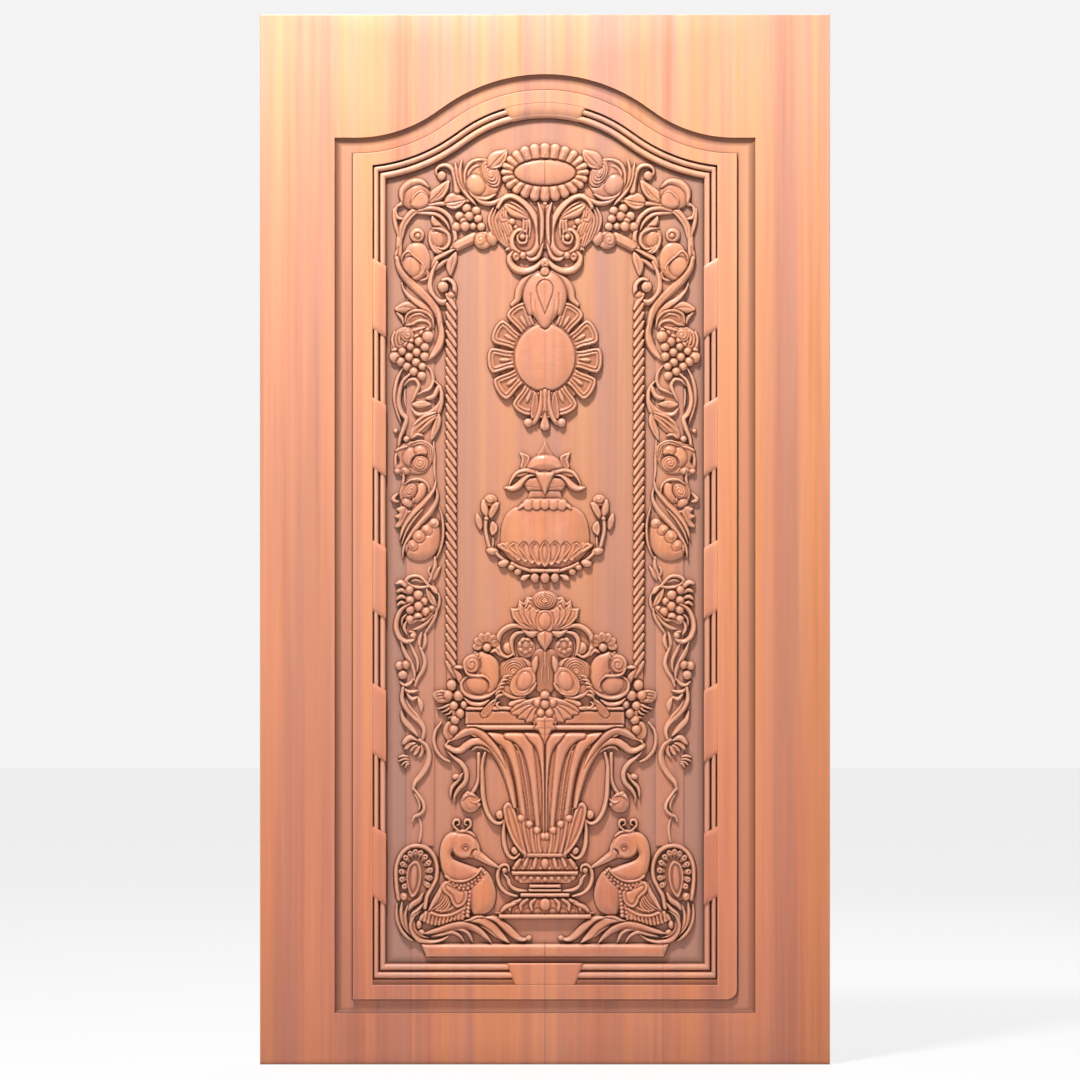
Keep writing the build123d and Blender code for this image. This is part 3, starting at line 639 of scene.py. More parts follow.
def crown_flowers(r):
    """Leaf, rose and acanthus volute beside the boss, with buds, grapes and branches out to the corner."""
    r.band(((400, 258), (399, 245), (401, 230), (406, 219), (414, 210), (424, 203), (436, 197)), 6.5, 9.5,
           3.5, "round")
    r.band(((402, 240), (405, 226), (412, 216), (421, 209)), 3.4, 9, 4, "round", "both")
    r.band(((422, 207), (434, 204), (446, 203), (468, 200)), 5, 9, 3.5)
    r.band(((419, 210), (430, 208), (441, 210), (450, 218), (454, 230), (455, 241), (451, 250)), 5, 9.5, 3.5)
    r.band(((416, 213), (428, 213), (438, 215), (446, 222), (450, 231)), 5, 8.5, 3.5, "left", "both")
    r.band(((432, 216), (436, 224), (447, 232)), 8, 9, 3, "left", "leaf")
    r.band(((398, 204), (395, 211), (397, 217), (404, 219)), 4.6, 9, ends="both")
    r.band(((393, 208), (395, 222), (399, 238)), 4.6, 8, ends="both")
    r.band(((398, 206), (404, 202), (410, 203)), 5.5, 9, 3.5, "round", "both")
    # Leaf pair above the branch
    r.pillow(((428, 203), (429, 193), (437, 186), (449, 179.5), (449, 187), (446, 195), (439, 201.5)), 10.5,
             3.5, 4)
    r.cut_line(((429, 202), (437, 195), (443, 188), (449, 180)), 1.8, 2.6)
    r.band(((434, 201), (442, 196), (447, 188), (449, 181)), 4.5, 11, 4, "left", "both", 1.2)
    r.pillow(((444, 200), (448, 194), (455, 192.5), (463, 196), (467, 199.5), (462, 206), (453, 209.5),
              (446, 206)), 10.5, 3.5, 4)
    r.cut_line(((445, 203), (454, 202), (466, 199.5)), 1.8, 2.6)
    r.band(((446, 206), (454, 207.5), (461, 204.5), (466, 200)), 4.2, 11, 4, "left", "both", 1.2)
    # Bud in the corner
    r.dome(415, 195, 15.5, 14.5, 11, 3.5, -15)
    r.band(((402, 203), (402, 192), (409, 184), (420, 181.5), (429, 187)), 8.5, 12, 5, "right", "both")
    r.pillow(((410, 205), (413, 197), (419, 191), (425, 191), (429, 199), (427, 206), (418, 209)), 12.6, 6, 5)
    r.band(((411, 204), (414, 196), (421, 191), (427, 194)), 2.6, 12.8, 8, "round", "both", 1.6)
    # Ring-like bloom with a small ball, and the bowl-shaped bud beneath
    r.dome(417, 235, 7.4, 7.4, 9.5, 4)
    r.dome(417.5, 236, 4.2, 4.2, 6.5, 6.5, cut=0.5)
    r.dome(417.8, 235.5, 3.0, 3.0, 11, 5)
    r.dome(439, 238, 11.5, 12.5, 7.5, 3.5, power=0.3)
    r.band(((431, 228), (440, 229), (448, 234), (449, 243), (443, 249), (435, 246)), 4.6, 11.5, 5, "right",
           "both")
    r.band(((431, 236), (434, 247), (441, 252.5), (450, 252)), 5.2, 12, 4.5, "left", "both")
    r.band(((432, 232), (430, 240), (434, 250), (441, 254)), 4.4, 11, 4, "left", "both")
    r.dome(437.5, 239, 6.5, 8.2, 10, 6, -25)
    # Hook and leaf that rise to the rose
    r.band(((440, 179), (436, 172), (439, 166.5), (446, 165), (452, 169), (455.5, 179), (457, 191)), 7.5, 11,
           4, "left", "tail")
    r.dome(441.5, 175.5, 4.6, 5.0, 9)
    r.band(((455, 163), (459, 180), (466, 193), (476, 205)), 7, 11.5, 4, "left", "both")
    r.band(((462, 159), (460, 172), (464, 186), (474, 198)), 5.5, 10, 4, "left", "both")
    # The rose
    r.dome(482, 178.5, 19.5, 21, 10.5, 3.5, power=0.35)
    r.band(((465, 186), (465, 173), (470, 163.5), (480, 159.5), (488, 162)), 4.4, 12, 6, "right", "both", 1.8)
    r.band(((469, 183), (469, 173), (474, 167), (481, 165)), 4.2, 12.6, 7, "right", "both", 1.8)
    r.band(((468, 190), (475, 197), (486, 198.5), (496, 194)), 5, 11.5, 5, "left", "both", 1.8)
    r.dome(476, 184.5, 9.6, 11.5, 14.4, 6, -32)
    r.swirl(490.5, 173.5, 9.6, 15.8, -28, 14.6, 6, 4.6, 4.0)
    r.band(((473, 197), (482, 202), (492, 203), (501, 199), (507, 193)), 5.6, 10, 3.5, "round", "both")
    r.pillow(((487, 167), (488, 157), (494, 151), (505, 149), (507.5, 150), (506, 159), (500, 166),
              (493, 170)), 11, 3.5, 5)
    r.cut_line(((490, 167), (497, 159), (507, 150)), 1.8, 2.4)
    r.band(((491, 168.5), (500, 165.5), (505, 159), (507, 151)), 4.8, 11.5, 4, "left", "both", 1.2)
    r.grapes(((466.5, 208, 5), (476, 210.5, 4.8), (459.5, 216, 5), (469, 216, 5.2), (478, 218.5, 4.6),
              (463, 221, 4), (456, 226.5, 5), (481, 226.5, 4.6), (473, 226, 3.8), (465, 226, 5.4)))
    # Stalk, curled bud and leaf fringe under the grapes
    r.band(((457, 246), (465, 242), (474, 237.5)), 11, 10.5, 4, "left")
    r.dome(483, 240, 9.5, 9, 11.5, 4)
    r.swirl(480.5, 240, 6.6, 7.4, 0, 12.6, 7, 2.0, 2.2)
    r.dome(492, 238, 6.0, 7.5, 11.5, 4)
    for k in range(6):
        x, y = 491 + 2.6 * k, 206 + 1.2 * k
        r.band(((x + 3, y), (x - 1.5 + 0.6 * k, y + 12), (x + 1 + 0.8 * k, y + 24),
                (x + 9, y + 36 + 1.4 * k)), 4.6, 8.5 + 0.35 * k, 3.5, "left", "both", 1.8)
    r.pillow(((500, 203), (508, 197), (520, 198), (531, 208), (538, 222), (540, 240), (533, 252), (520, 250),
              (511, 238), (503, 226), (498, 214)), 6.5, 3.5, 4)
    for k in range(4):
        r.band(((501 + 1.5 * k, 205), (498.6 + 2.6 * k, 216), (502.5 + 2.8 * k, 228),
                (510.5 + 1.6 * k, 238 + 1.5 * k)), 4.2, 9 + 0.7 * k, 4, "right", "both", 2.8, 1.1)
    r.band(((505, 250), (511, 247), (512, 240)), 4.4, 8.5, 3.5, "round", "both")
    # The acanthus ribbons that fall into the volute
    r.band(((498, 207), (503, 199), (511, 196), (520, 200), (529, 209), (536, 221), (539, 235), (537, 247),
            (530, 254), (520, 254), (513, 247), (512.5, 237), (518, 230), (525, 231)), 8.4, 13, 4.5, "left",
           "swell")
    for k in range(3):
        inset = 3.4 * (k + 1)
        r.band(((507 + inset * 0.7, 198 + inset), (519, 203 + inset), (528 - inset * 0.4, 212 + inset * 0.8),
                (533 - inset * 0.9, 225), (533 - inset, 238)), 4.0, 12 - 0.6 * k, 5, "left", "both", 2.6, 1.1)
    r.pillow(r.mirrored(((545, 205), (539, 205), (537.5, 222), (538.5, 244), (545, 249))), 7, 3.5, 3)
    r.band(((538, 202), (541.8, 215), (542, 232), (540.5, 247)), 6.4, 11.5, 4, "left", "both")
    r.cut_line(((545, 208), (545, 247)), 2.2, 3)
    r.pillow(((503.5, 204), (510, 203.5), (518, 207), (526, 213), (531, 219.5), (521, 219), (511.5, 216.5),
              (506, 211)), 12, 4.5, 3.4, 3.2, 1.2)
    r.cut_line(((505, 205), (513, 209.5), (521, 213.5), (529, 218.5)), 2.2, 3.2)
    r.band(((500, 213), (502, 220), (508, 219)), 5, 9.5, 4, "round", "both")
    r.dome(512, 221.5, 4.0, 4.0, 11)
    r.dome(515.5, 227, 2.4, 2.4, 10)
    r.band(((527, 236), (526, 242), (519.5, 242.5), (517.5, 236.5), (521, 232.5)), 2.8, 12, 6, "round",
           "even", 1.6)
    r.dome(522.5, 236.5, 3.6, 3.6, 13)
    r.dome(545, 203, 2.6, 3.4, 8.5)


def boss(r):
    """The oval boss under the arch: a plain oval in a ring of gadroons."""
    r.dome(545, 171.5, 43, 27, 6.5, 3.5, power=0.12)
    count = 24
    for step in range(count):
        angle = 2 * pi * step / count
        ux, uy = cos(angle), sin(angle)
        gap = hypot(40 * uy, 24.5 * ux) * 2 * pi / count
        width = gap * 1.02
        inner = (545 + 31 * ux, 172 + 12.5 * uy)
        outer = (545 + (44 - 0.42 * width) * ux, 172 + (28.6 - 0.42 * width) * uy)
        middle = ((inner[0] + outer[0]) / 2, (inner[1] + outer[1]) / 2)
        r.band((inner, middle, outer), width, 12.4, 5, "round", "even", 3.0, 1.1)
        r.band((middle, outer), width * 0.42, 13.6, 10, "round", "tip", 1.0, 0.6)
    r.dome(545, 172.3, 32.6, 14.6, 7.5, 5, power=0.12, cut=3)
    r.dome(545, 172.3, 31, 12.8, 14.2, 7, power=0.36, cut=2.5)


PETAL_OUTLINE = ((28, -6.5), (38, -9), (48, -11.6), (54, -11.4), (57, -6.5), (57.8, 0), (57, 6.5), (54, 11.4),
                 (48, 11.6), (38, 9), (28, 6.5))
PETAL_ANGLES = (122, 152, 183, 214, 246)


def medallion(r):
    """The round medallion in its ring of hollow petals."""
    r.dome(545, 357.5, 46, 50, 5.5, 3.5, power=0.12)
    for angle in (*PETAL_ANGLES, 270, 90):
        a = radians(angle)
        ux, uy = cos(a), -sin(a)
        points = [(545 + u * ux - w * uy, 357.5 + 1.06 * (u * uy + w * ux)) for u, w in PETAL_OUTLINE]
        r.pillow(points, 7.4, 3.5, 2.0, 2.8, 1.5, rims=((1.8, 1.0, 4.2), (5.2, 1.0, 3.4)))
        inner, outer = (545 + 33 * ux, 357.5 + 35 * uy), (545 + 46 * ux, 357.5 + 49 * uy)
        r.band((inner, outer), 4.6, 11.5, 7, "round", "drop", 0.6, 0.8)
    r.dome(545, 357.5, 32.5, 35.5, 8, 5.5, power=0.15, cut=3)
    r.dome(545, 357.5, 30.2, 33.6, 14.4, 8.5, power=0.3, cut=2.8)


def medallion_top(r):
    """C-scroll, small bud and tulip between the boss and the medallion."""
    r.band(((538, 272), (527, 279), (520, 289), (517.5, 299), (512.5, 304.5)), 9, 9.5, 3.5, "left", "swell")
    half = ((545, 270.5), (535, 273), (527, 281), (523, 292), (523.5, 303), (528, 315), (532.5, 316),
            (537, 321), (541, 328), (545, 330))
    r.pillow(r.mirrored(half), 13.4, 5, 9)
    r.cut_line(((533, 316), (531, 305), (531, 293)), 2.0, 2.2)
    r.cut_line(((538.5, 322), (536, 310), (535.5, 300)), 1.6, 1.4)
    r.cut_line(((545, 279.5), (540, 281.5), (536.8, 288), (538.5, 297), (542, 306), (545, 314)), 1.9, 3.2)
    r.band(((513, 252), (509.5, 257), (511, 264), (517, 269.5), (527, 271), (536, 267), (543, 260)), 8, 12, 4,
           "left", "swell")
    r.dome(516, 256, 4.0, 5.0, 12, 4)
    r.dome(516.5, 257, 1.8, 2.4, 9, 8, cut=0.6, reach=0.6)
    r.band(((524, 254), (530, 259), (537, 257.5), (541, 250), (543, 243)), 5.5, 11.5, 4, "left", "both")
    r.dome(523, 255, 4.2, 4.0, 12)
    r.pillow(r.mirrored(((545, 257), (541, 260), (540.5, 266), (545, 270))), 12, 4, 3)
    r.cut_line(((541, 260), (545, 263.5)), 1.2, 2)
    r.cut_line(((541, 266), (545, 263.5)), 1.2, 2)
    r.dome(545, 271.5, 5.2, 5.6, 12.6)
    r.dome(545, 271, 2.6, 3.0, 11, 10, cut=1.0, reach=0.8)


def medallion_foot(r):
    """The forked curl and its centre leaf under the medallion."""
    r.pillow(((533, 393), (538, 394), (539, 408), (535, 419), (530, 416)), 8, 3.5, 2.2,
             rims=((1.6, 0.9, 2.6),))
    r.pillow(r.mirrored(((545, 388), (541.5, 391), (541.5, 410), (545, 414))), 12.4, 5, 3)
    r.band(((541, 391), (541, 403), (539, 413), (534.5, 421.5), (528.5, 424)), 6.4, 12, 4.5, "left", "swell")
    r.dome(528.5, 422.5, 4.8, 4.6, 12)
    r.pillow(r.mirrored(((545, 409), (542.5, 416), (540, 426), (541.5, 429.5), (545, 430.5))), 11.5, 4, 3.5)


def vine_buds(r):
    """Bowl-shaped bud, leaves, volute and the broad ribbon in the upper part of the vine."""
    r.band(((399, 246), (396, 256), (399, 262)), 4, 7.5, ends="both")
    r.pillow(((404, 251), (411, 243), (421, 242.5), (428, 249), (431, 261), (429, 272), (421, 279.5),
              (411, 280), (403, 273), (401, 262)), 12, 3.5, 10)
    r.band(((424, 270), (428, 272), (427, 278), (419, 281)), 3.4, 9.5, 4, "round", "both")
    r.dome(411.5, 266.5, 9.6, 11, 13, 6, -25)
    r.band(((401.5, 265), (402.5, 256), (408, 251), (414, 256), (420.5, 261.5), (424.5, 268), (421, 277)),
           2.6, 13.4, 8, "round", "both", 1.8)
    r.band(((431, 268), (436, 259), (446, 253), (455, 249)), 6, 10, 3.5, "left", "both")
    r.band(((432, 272), (441, 264), (450, 258)), 5, 10.5, 3.5, "right", "both")
    r.pillow(((455.5, 251), (457.5, 258), (455, 267), (450.5, 276), (446, 268), (447, 260)), 9.5, 3.5, 3)
    r.cut_line(((454, 254), (452, 264), (450, 274)), 1.5, 2)
    # Volute
    r.band(((437, 262), (432, 273), (430, 286), (433.5, 296.5), (441, 302), (449, 300), (454, 292.5),
            (453.5, 284), (448, 279), (442.5, 280)), 6.6, 11.5, 4, "right", "swell")
    r.dome(443.2, 286.5, 5.6, 5.8, 12.4, 4)
    # Leaf at the outer side
    r.pillow(((394, 309), (401, 303), (409, 301), (416, 305), (419, 310), (410, 312.5), (401, 313)), 9.5, 3.5,
             3.4)
    r.cut_line(((396, 309), (404, 307), (414, 308)), 1.5, 2)
    r.band(((396, 312), (402, 318), (404, 325)), 4, 8, 3.5, "round", "both")
    # Broad ribbon and the pale blade along it
    r.band(((401, 279), (403.5, 289), (412, 299), (423, 307), (430.5, 316), (433.5, 327)), 8.5, 10.5, 3.5,
           "left", "drop")
    r.band(((397, 258), (400, 269), (409, 281), (421, 292), (431, 302), (437.5, 313), (440.5, 325),
            (441, 333)), 9.5, 11.8, 4, "right", "swell")
    r.band(((408, 279), (420, 290), (429, 299), (435, 309), (436.5, 320)), 3.2, 10.5, 6, "round", "both", 1.6)
    r.band(((441, 322), (442, 334), (440, 344), (434.5, 353), (427, 360.5)), 9, 11.2, 3.5, "right", "both")


def marigold(r):
    """The half-open marigold: a leaf curled over it, fringed petals and a scalloped edge."""
    r.pillow(((405, 325), (405, 315), (412, 309.5), (423, 310), (431, 316), (434, 325), (430, 331),
              (415, 331)), 7.5, 3.5, 4)
    r.band(((405, 323), (407, 314.5), (415, 310.5), (425, 312), (432, 318.5), (434, 328)), 4.4, 11.5, 4.5,
           "right", "both", 1.8)
    r.band(((409, 321), (412, 316), (420, 314), (428, 318)), 3.4, 10, 5, "round", "both", 1.6)
    r.band(((405, 325.5), (412, 324), (419, 320.5), (427, 321.5), (430.5, 326), (426, 329.5)), 3.8, 11.6, 5,
           "round", "both", 1.8)
    r.pillow(((392, 352), (391, 341), (396, 331), (406, 326), (420, 327), (431, 329), (424, 336), (412, 343),
              (402, 350)), 8.5, 3.5, 4)
    for k in range(5):
        x = 393 + 3.1 * k
        r.band(((x + 1.4, 332 - 0.8 * k), (x - 0.6 + 0.3 * k, 340), (x + 1.2 + 0.4 * k, 349 - 1.7 * k)), 3.6,
               11.5, 5, "left", "swell", 2.2, 0.9)
    r.swirl(407.5, 335, 8, 7.8, 0, 13, 6, 2.6, 2.6)
    for x, y in ((394.5, 350), (400.5, 347.8), (406, 344.5), (411.5, 340.6), (416.5, 336.4), (421.5, 332.6),
                 (427, 330.5)):
        r.dome(x, y, 3.5, 2.8, 12.2, 5, -35, 0.5, 2.6, 1.0)
    r.band(((411, 331), (418, 329), (426, 327)), 4, 11, 6, "round", "both", 1.6)


def vine_grapes(r):
    """The long bunch of grapes with its tendrils, split leaf and acanthus leaf."""
    r.band(((403, 367), (397, 380), (394.8, 396), (397, 411), (401, 424)), 5, 9, 3, "round", "both")
    r.band(((410, 374), (403, 381), (399.5, 391), (398.5, 403), (401.5, 413), (406, 419), (403.5, 429),
            (400, 438), (398.5, 448)), 6, 11, 3.5, "left", "swell")
    r.band(((403.5, 386), (409, 380), (415.5, 379.5), (418.5, 386), (415.5, 394), (411.5, 403)), 4.8, 10.5,
           3.5, "left", "both")
    r.band(((405, 388), (404.6, 398), (406, 409)), 2.6, 7.5, 3, "round", "both")
    r.band(((426, 365), (431, 371), (433, 380), (430, 388), (422, 392), (416, 395)), 4.4, 10.5, 3.5, "right",
           "both")
    r.band(((434, 380), (440, 388), (441.6, 398), (439, 410), (433, 420), (425, 428)), 6, 10.5, 3.5, "left",
           "both")
    r.pillow(((438.5, 384), (439.5, 391), (435.5, 398), (427.5, 400.5), (425, 397.5), (432, 394), (435, 388)),
             11, 4, 3)
    for x, y, size in ((395, 357, 6), (402, 351, 4.6), (410, 346.5, 4.4), (419, 341.5, 5.4),
                       (427.5, 336.5, 6.4), (424.5, 347, 5), (416.5, 352.3, 4.8), (409, 357, 4.8),
                       (424.5, 356.5, 5), (400.6, 361.5, 4.9), (416, 362.3, 4.8), (406.7, 366.4, 4.6),
                       (422, 366.5, 4.4), (413.6, 371.5, 4.8), (421.5, 375.8, 4.9)):
        r.dome(x, y, size, size, 9.4 + 0.7 * size, 3.5, cut=3.0)
    r.pillow(((411.5, 404), (417, 400.8), (425, 400.5), (432, 404.2), (425, 407.5), (416, 408)), 10.5, 4, 2.8)
    r.cut_line(((413, 404), (422, 403.4), (430, 404.5)), 1.3, 1.4)
    r.band(((411, 407.5), (416, 413.5), (424, 415), (432, 411.5), (439, 403)), 6, 11, 3.5, "left", "both")
    r.band(((440, 400), (436, 410), (430, 417)), 4, 10, 4, "round", "both")
    # Acanthus leaf: blades that fan from the upper right
    r.pillow(((437, 413), (424, 415.5), (414, 423), (409.5, 433), (411, 440), (421, 434.5), (431, 426)), 9,
             3.5, 3)
    for start, middle_point, end, width in (
        ((437, 412), (423, 417), (411.5, 427), 5),
        ((437, 414), (424, 421.5), (411, 433), 4.6),
        ((438, 415), (427, 424), (413, 437.5), 4.6),
    ):
        r.band((start, middle_point, end), width, 11, 5, "right", "leaf", 2.0, 1.0)
    r.pillow(((438.5, 412.5), (441.5, 420), (439, 430), (431, 441.5), (430.5, 432), (434, 421)), 10.5, 3.5, 3)
    r.cut_line(((438.5, 416), (436.5, 427), (432, 438)), 1.6, 2.2)
    r.band(((412, 438.5), (417, 434.5), (424, 436)), 3.6, 11.5, 5, "round", "both")
    r.dome(406.3, 439.2, 3.6, 3.6, 11.5)
    r.dome(395.5, 431, 2.4, 2.4, 8)


def vine_roses(r):
    """Two roses, each a coiled heart beside smooth petals, and the crossing ribbons under them."""
    r.band(((398.5, 446), (395.5, 458), (396.5, 470), (402, 476)), 3.6, 8, 3, "round", "both")
    r.band(((433.5, 440), (434.3, 456), (434.3, 470), (436, 484)), 3.4, 8, 3, "round", "both")
    r.pillow(((396, 450), (404, 443), (416, 440), (428, 442), (434, 452), (432, 463), (424, 473), (410, 474),
              (399, 474), (394, 468), (399, 462)), 8, 3.5, 4)
    for k in range(3):
        r.band(((409 + 1.5 * k, 444.5 + 1.8 * k), (420 + 0.5 * k, 440.8 + 2.4 * k),
                (431 - 1.8 * k, 446 + 1.5 * k), (433 - 2 * k, 457)), 3.2, 11 - 0.3 * k, 5, "right", "both",
               1.8, 0.9)
    r.band(((395, 451), (401, 448), (408, 446.5)), 4, 10, 4, "round", "both")
    r.dome(405, 470.8, 5.4, 3.6, 11, 4, 10)
    r.dome(397.5, 471.2, 3.6, 2.8, 10.5, 4, 0)
    r.dome(410.5, 457, 8.4, 10.4, 13, 5, 15)
    r.dome(420.5, 451, 7.4, 5.6, 13, 5, 10)
    r.band(((410, 464), (415, 458), (420, 452.5), (428, 453)), 2.6, 13.2, 8, "round", "both", 1.6)
    r.swirl(420, 463, 9.6, 9, 0, 13.6, 5, 3.4, 2.8)
    # Second rose
    r.band(((403, 470), (403.5, 480), (401, 490)), 3.4, 8, 3, "round", "both")
    r.dome(413.5, 494, 14.5, 14.5, 9, 3.5, power=0.4)
    r.band(((404, 485), (411, 480), (421, 480), (428, 486), (429, 496)), 3.6, 11.2, 5, "right", "both", 1.8)
    r.band(((398, 493), (393, 499.5), (399, 502)), 4.6, 10, 3.5, "round", "both")
    r.dome(419.5, 493, 6.4, 11.5, 13.4, 5, 22)
    r.band(((413, 504), (414, 495), (421, 486)), 2.4, 13, 8, "round", "both", 1.6)
    r.swirl(410, 491.5, 7.4, 9.6, 35, 13.6, 5, 3.4, 2.8)
    r.dome(407.5, 503, 6.5, 4.6, 11, 4, 25)
    r.band(((401, 506), (406, 511.5), (414, 512.5)), 4.4, 11.5, 4, "round", "both")
    r.pillow(((404, 506), (396, 509), (399, 513), (394, 516.5), (398.5, 520), (394.5, 527), (401, 527),
              (406, 520), (409, 512)), 9, 3.5, 3)
    r.cut_line(((406, 509), (402, 518), (398, 526)), 1.5, 2)
    # Crossing ribbons
    r.band(((436, 480), (433, 491), (423, 503), (412, 515), (404, 527), (399.5, 540)), 7, 11.5, 3.5, "right",
           "both")
    r.band(((424, 508), (414, 519), (406, 532), (401.5, 545)), 4, 9.5, 4, "round", "both")
    r.band(((436.5, 488), (437, 499), (431, 511), (420, 523.5), (410, 536.5), (404, 548), (402.5, 558)), 7,
           12, 3.5, "left", "both")


def vine_dome(r):
    """The smooth bell-shaped bloom with its scalloped edge, and the stem on to the lower vine."""
    r.band(((439, 507), (442.5, 520), (443, 536), (440, 550), (435, 560)), 4, 9, 3, "right", "both")
    r.pillow(((407, 557), (405.5, 549), (410, 540), (417, 531), (425, 524), (434.5, 518.5), (439.5, 526),
              (440.5, 540), (437.5, 551), (430, 558.5), (418, 561)), 12.6, 3.5, 12)
    r.band(((406, 553), (407, 546), (411, 541)), 3.6, 11, 5, "round", "both")
    for x, y, rx, ry, turn in ((434, 523.6, 3.4, 3.2, 20), (427, 530.5, 4.6, 3.8, 40),
                               (419, 537, 5.2, 5.2, 0), (413, 545.8, 3.4, 4.8, -35)):
        r.dome(x, y, rx + 1.8, ry + 1.8, 13.4, 6, turn, 0.35, 2.6, 1.0)
        r.dome(x, y, rx, ry, 12.4, 12.4, turn, 0.5, 1.8, 0.8)
        r.dome(x - 0.4, y - 0.4, rx * 0.72, ry * 0.72, 15, 10, turn, 0.5, 1.2, 0.7)
    r.band(((434.5, 556), (435, 566), (432, 575), (428, 584)), 5.4, 10.5, 3.5, "left", "both")
    r.pillow(((441, 566), (438, 576), (432.5, 581.5), (433, 574), (436, 569)), 9, 3.5, 2.6)
    r.band(((430, 577), (428.5, 571), (431, 566)), 3.2, 8.5, 3.5, "round", "both")


def kalash(r):
    """The pot of plenty with mango leaves and a coconut, on its lotus foot."""
    r.pillow(r.mirrored(((545, 440), (541, 448), (536, 457), (545, 459))), 5.5, 2.5, 4)
    r.pillow(((519.5, 452.5), (529.5, 456), (529, 464), (523.5, 471), (520, 467), (521.5, 460)), 6.5, 3, 2.2,
             rims=((1.4, 1.0, 2.4),))
    r.pillow(r.mirrored(((545, 454), (536, 456), (529.5, 461), (526, 468), (527, 472), (545, 472.5))), 14.6,
             4, 17)
    # Neck behind the leaves
    r.pillow(((529.5, 490), (560.5, 490), (562.5, 499), (527.5, 499)), 7, 3, 4.0, sharp=True)
    r.pillow(((519.5, 477), (570.5, 477), (567.5, 484), (562, 491), (528, 491), (522.5, 484)), 9.5, 3.5, 5.0,
             sharp=True)
    r.cut_line(((524, 486), (545, 488), (566, 486)), 1.6, 1.4)
    # Drooping leaves, one over the other
    r.band(((537, 472.5), (526, 470.5), (517, 473), (511.5, 480), (509, 487)), 6.5, 10.5, 4, "right", "tip")
    r.band(((516, 476), (521, 475), (529, 473)), 5, 8, 4, "left", "both")
    r.band(((538, 476), (530, 475.5), (524, 479.5), (518.5, 485.5), (512, 488.5), (504, 487.5)), 7.6, 12.6, 4,
           "right", "drop")
    half = ((545, 471.5), (535, 471.8), (535.2, 474), (540, 485), (544, 494), (545, 495))
    r.pillow(r.mirrored(half), 14.6, 7, 5.5, sharp=True)
    # Lip and scalloped skirt
    r.pillow(((530, 498.5), (560, 498.5), (561, 502.6), (529, 502.6)), 11.5, 5, 2.0, sharp=True)
    body = ((519, 506), (508.5, 511.5), (504.5, 517), (501.5, 526), (500.2, 538), (501.5, 548), (507, 557),
            (516, 564), (526, 568.5), (545, 569))
    r.pillow(r.mirrored(((545, 504), *body)), 15.6, 3.5, 42)
    r.band(((518, 509.5), (523, 505.5), (529, 503.5)), 4.2, 12.5, 7, "round", "both")
    for k in (2, 1, 0):
        r.dome(545.2 - 8.5 * k, 504.6 + 0.3 * k, 4.9, 5.4, 14.6 - 0.6 * k, 10, 0, 0.35, 3.0, 1.2)
    # Lotus petals round the bowl: pointed arches with a raised rim and a small leaf inside
    for k in (4, 3, 2, 1, 0):
        top = 545.3 - 10.6 * k
        foot = 545.3 - 7.0 * k
        half_width = 6.1 - 0.3 * k
        points = [(top, 540.5 + 0.5 * k), (top - half_width * 0.7, 544.5), (top - half_width, 551 - k),
                  (foot - half_width * 0.8, 562 - 1.3 * k), (foot, 567.5 - 1.5 * k),
                  (foot + half_width * 0.8, 562 - k), (top + half_width, 551 - k),
                  (top + half_width * 0.7, 544.5)]
        r.pillow(points, 12.0 - 0.5 * k, 8, 1.8, 3.4, 1.3, rims=((1.2, 0.8, 2.6),))
        r.dome((top + foot) / 2, 553.5 - k, 2.8, 8.4, 14.2 - 0.6 * k, 11, -7 * k, 0.6, 1.4, 0.9)
    # Foot: a thin bar over turned-down petals
    r.pillow(((529, 568.6), (561, 568.6), (561, 572.8), (529, 572.8)), 12.5, 5, 2.0, sharp=True)
    r.band(((531, 574.5), (526, 577), (520.5, 580)), 6, 10.5, 4, "round", "drop")
    r.dome(535, 577.5, 4.6, 5.0, 11.8, 5, -10)
    r.dome(545.3, 577.5, 5.2, 5.6, 12.6, 5)


def kalash_side(r):
    """The budding stem beside the pot and the garland that joins it to the foot."""
    r.pillow(((477, 513), (482, 519), (483, 527), (480.5, 530.5), (476.5, 526), (475, 519)), 8.6, 3.5, 3)
    r.pillow(((492, 521), (497, 525), (497.5, 531), (492, 536), (489.5, 531), (490, 525)), 9, 3.5, 2.6,
             rims=((1.2, 0.8, 1.6),))
    r.band(((486, 519), (485.6, 530), (487.5, 540), (490, 549)), 4.2, 10, 3.5, "round", "even")
    r.band(((493, 536), (493, 544), (492, 550)), 2.4, 8, 3.5, "round", "both")
    r.dome(490.5, 500.5, 6.8, 6.2, 10.5, 4)
    r.swirl(490.5, 499.5, 5.2, 4.8, 0, 12, 6.5, 1.8, 2.4)
    r.pillow(((483, 499), (487.5, 505), (489, 512), (487, 517.5), (482, 513), (480.5, 506)), 11.8, 4, 3)
    r.pillow(((499.5, 503), (496.5, 512), (491, 518.5), (488, 515), (490.5, 507), (494.5, 502.5)), 12, 4, 3)
    r.cut_line(((496.5, 505), (493.5, 511), (490, 516)), 1.4, 2)
    r.dome(486.4, 518.6, 2.6, 2.4, 12)
    r.dome(492.5, 551.3, 6.4, 3.8, 12, 4, 12)
    r.band(((496, 553), (501, 558), (506, 561.5)), 3.4, 10, 4, "round", "even")
    r.dome(503.5, 563.3, 5.8, 3.8, 12, 4, -12)
    r.dome(512, 567, 4.4, 3.2, 11.5, 4, -20)
    r.dome(518, 571.5, 4.2, 3.6, 9.5, 4, -30)
    r.band(((512, 563.5), (519, 567), (529, 570.5)), 3.6, 11, 4, "round", "even")


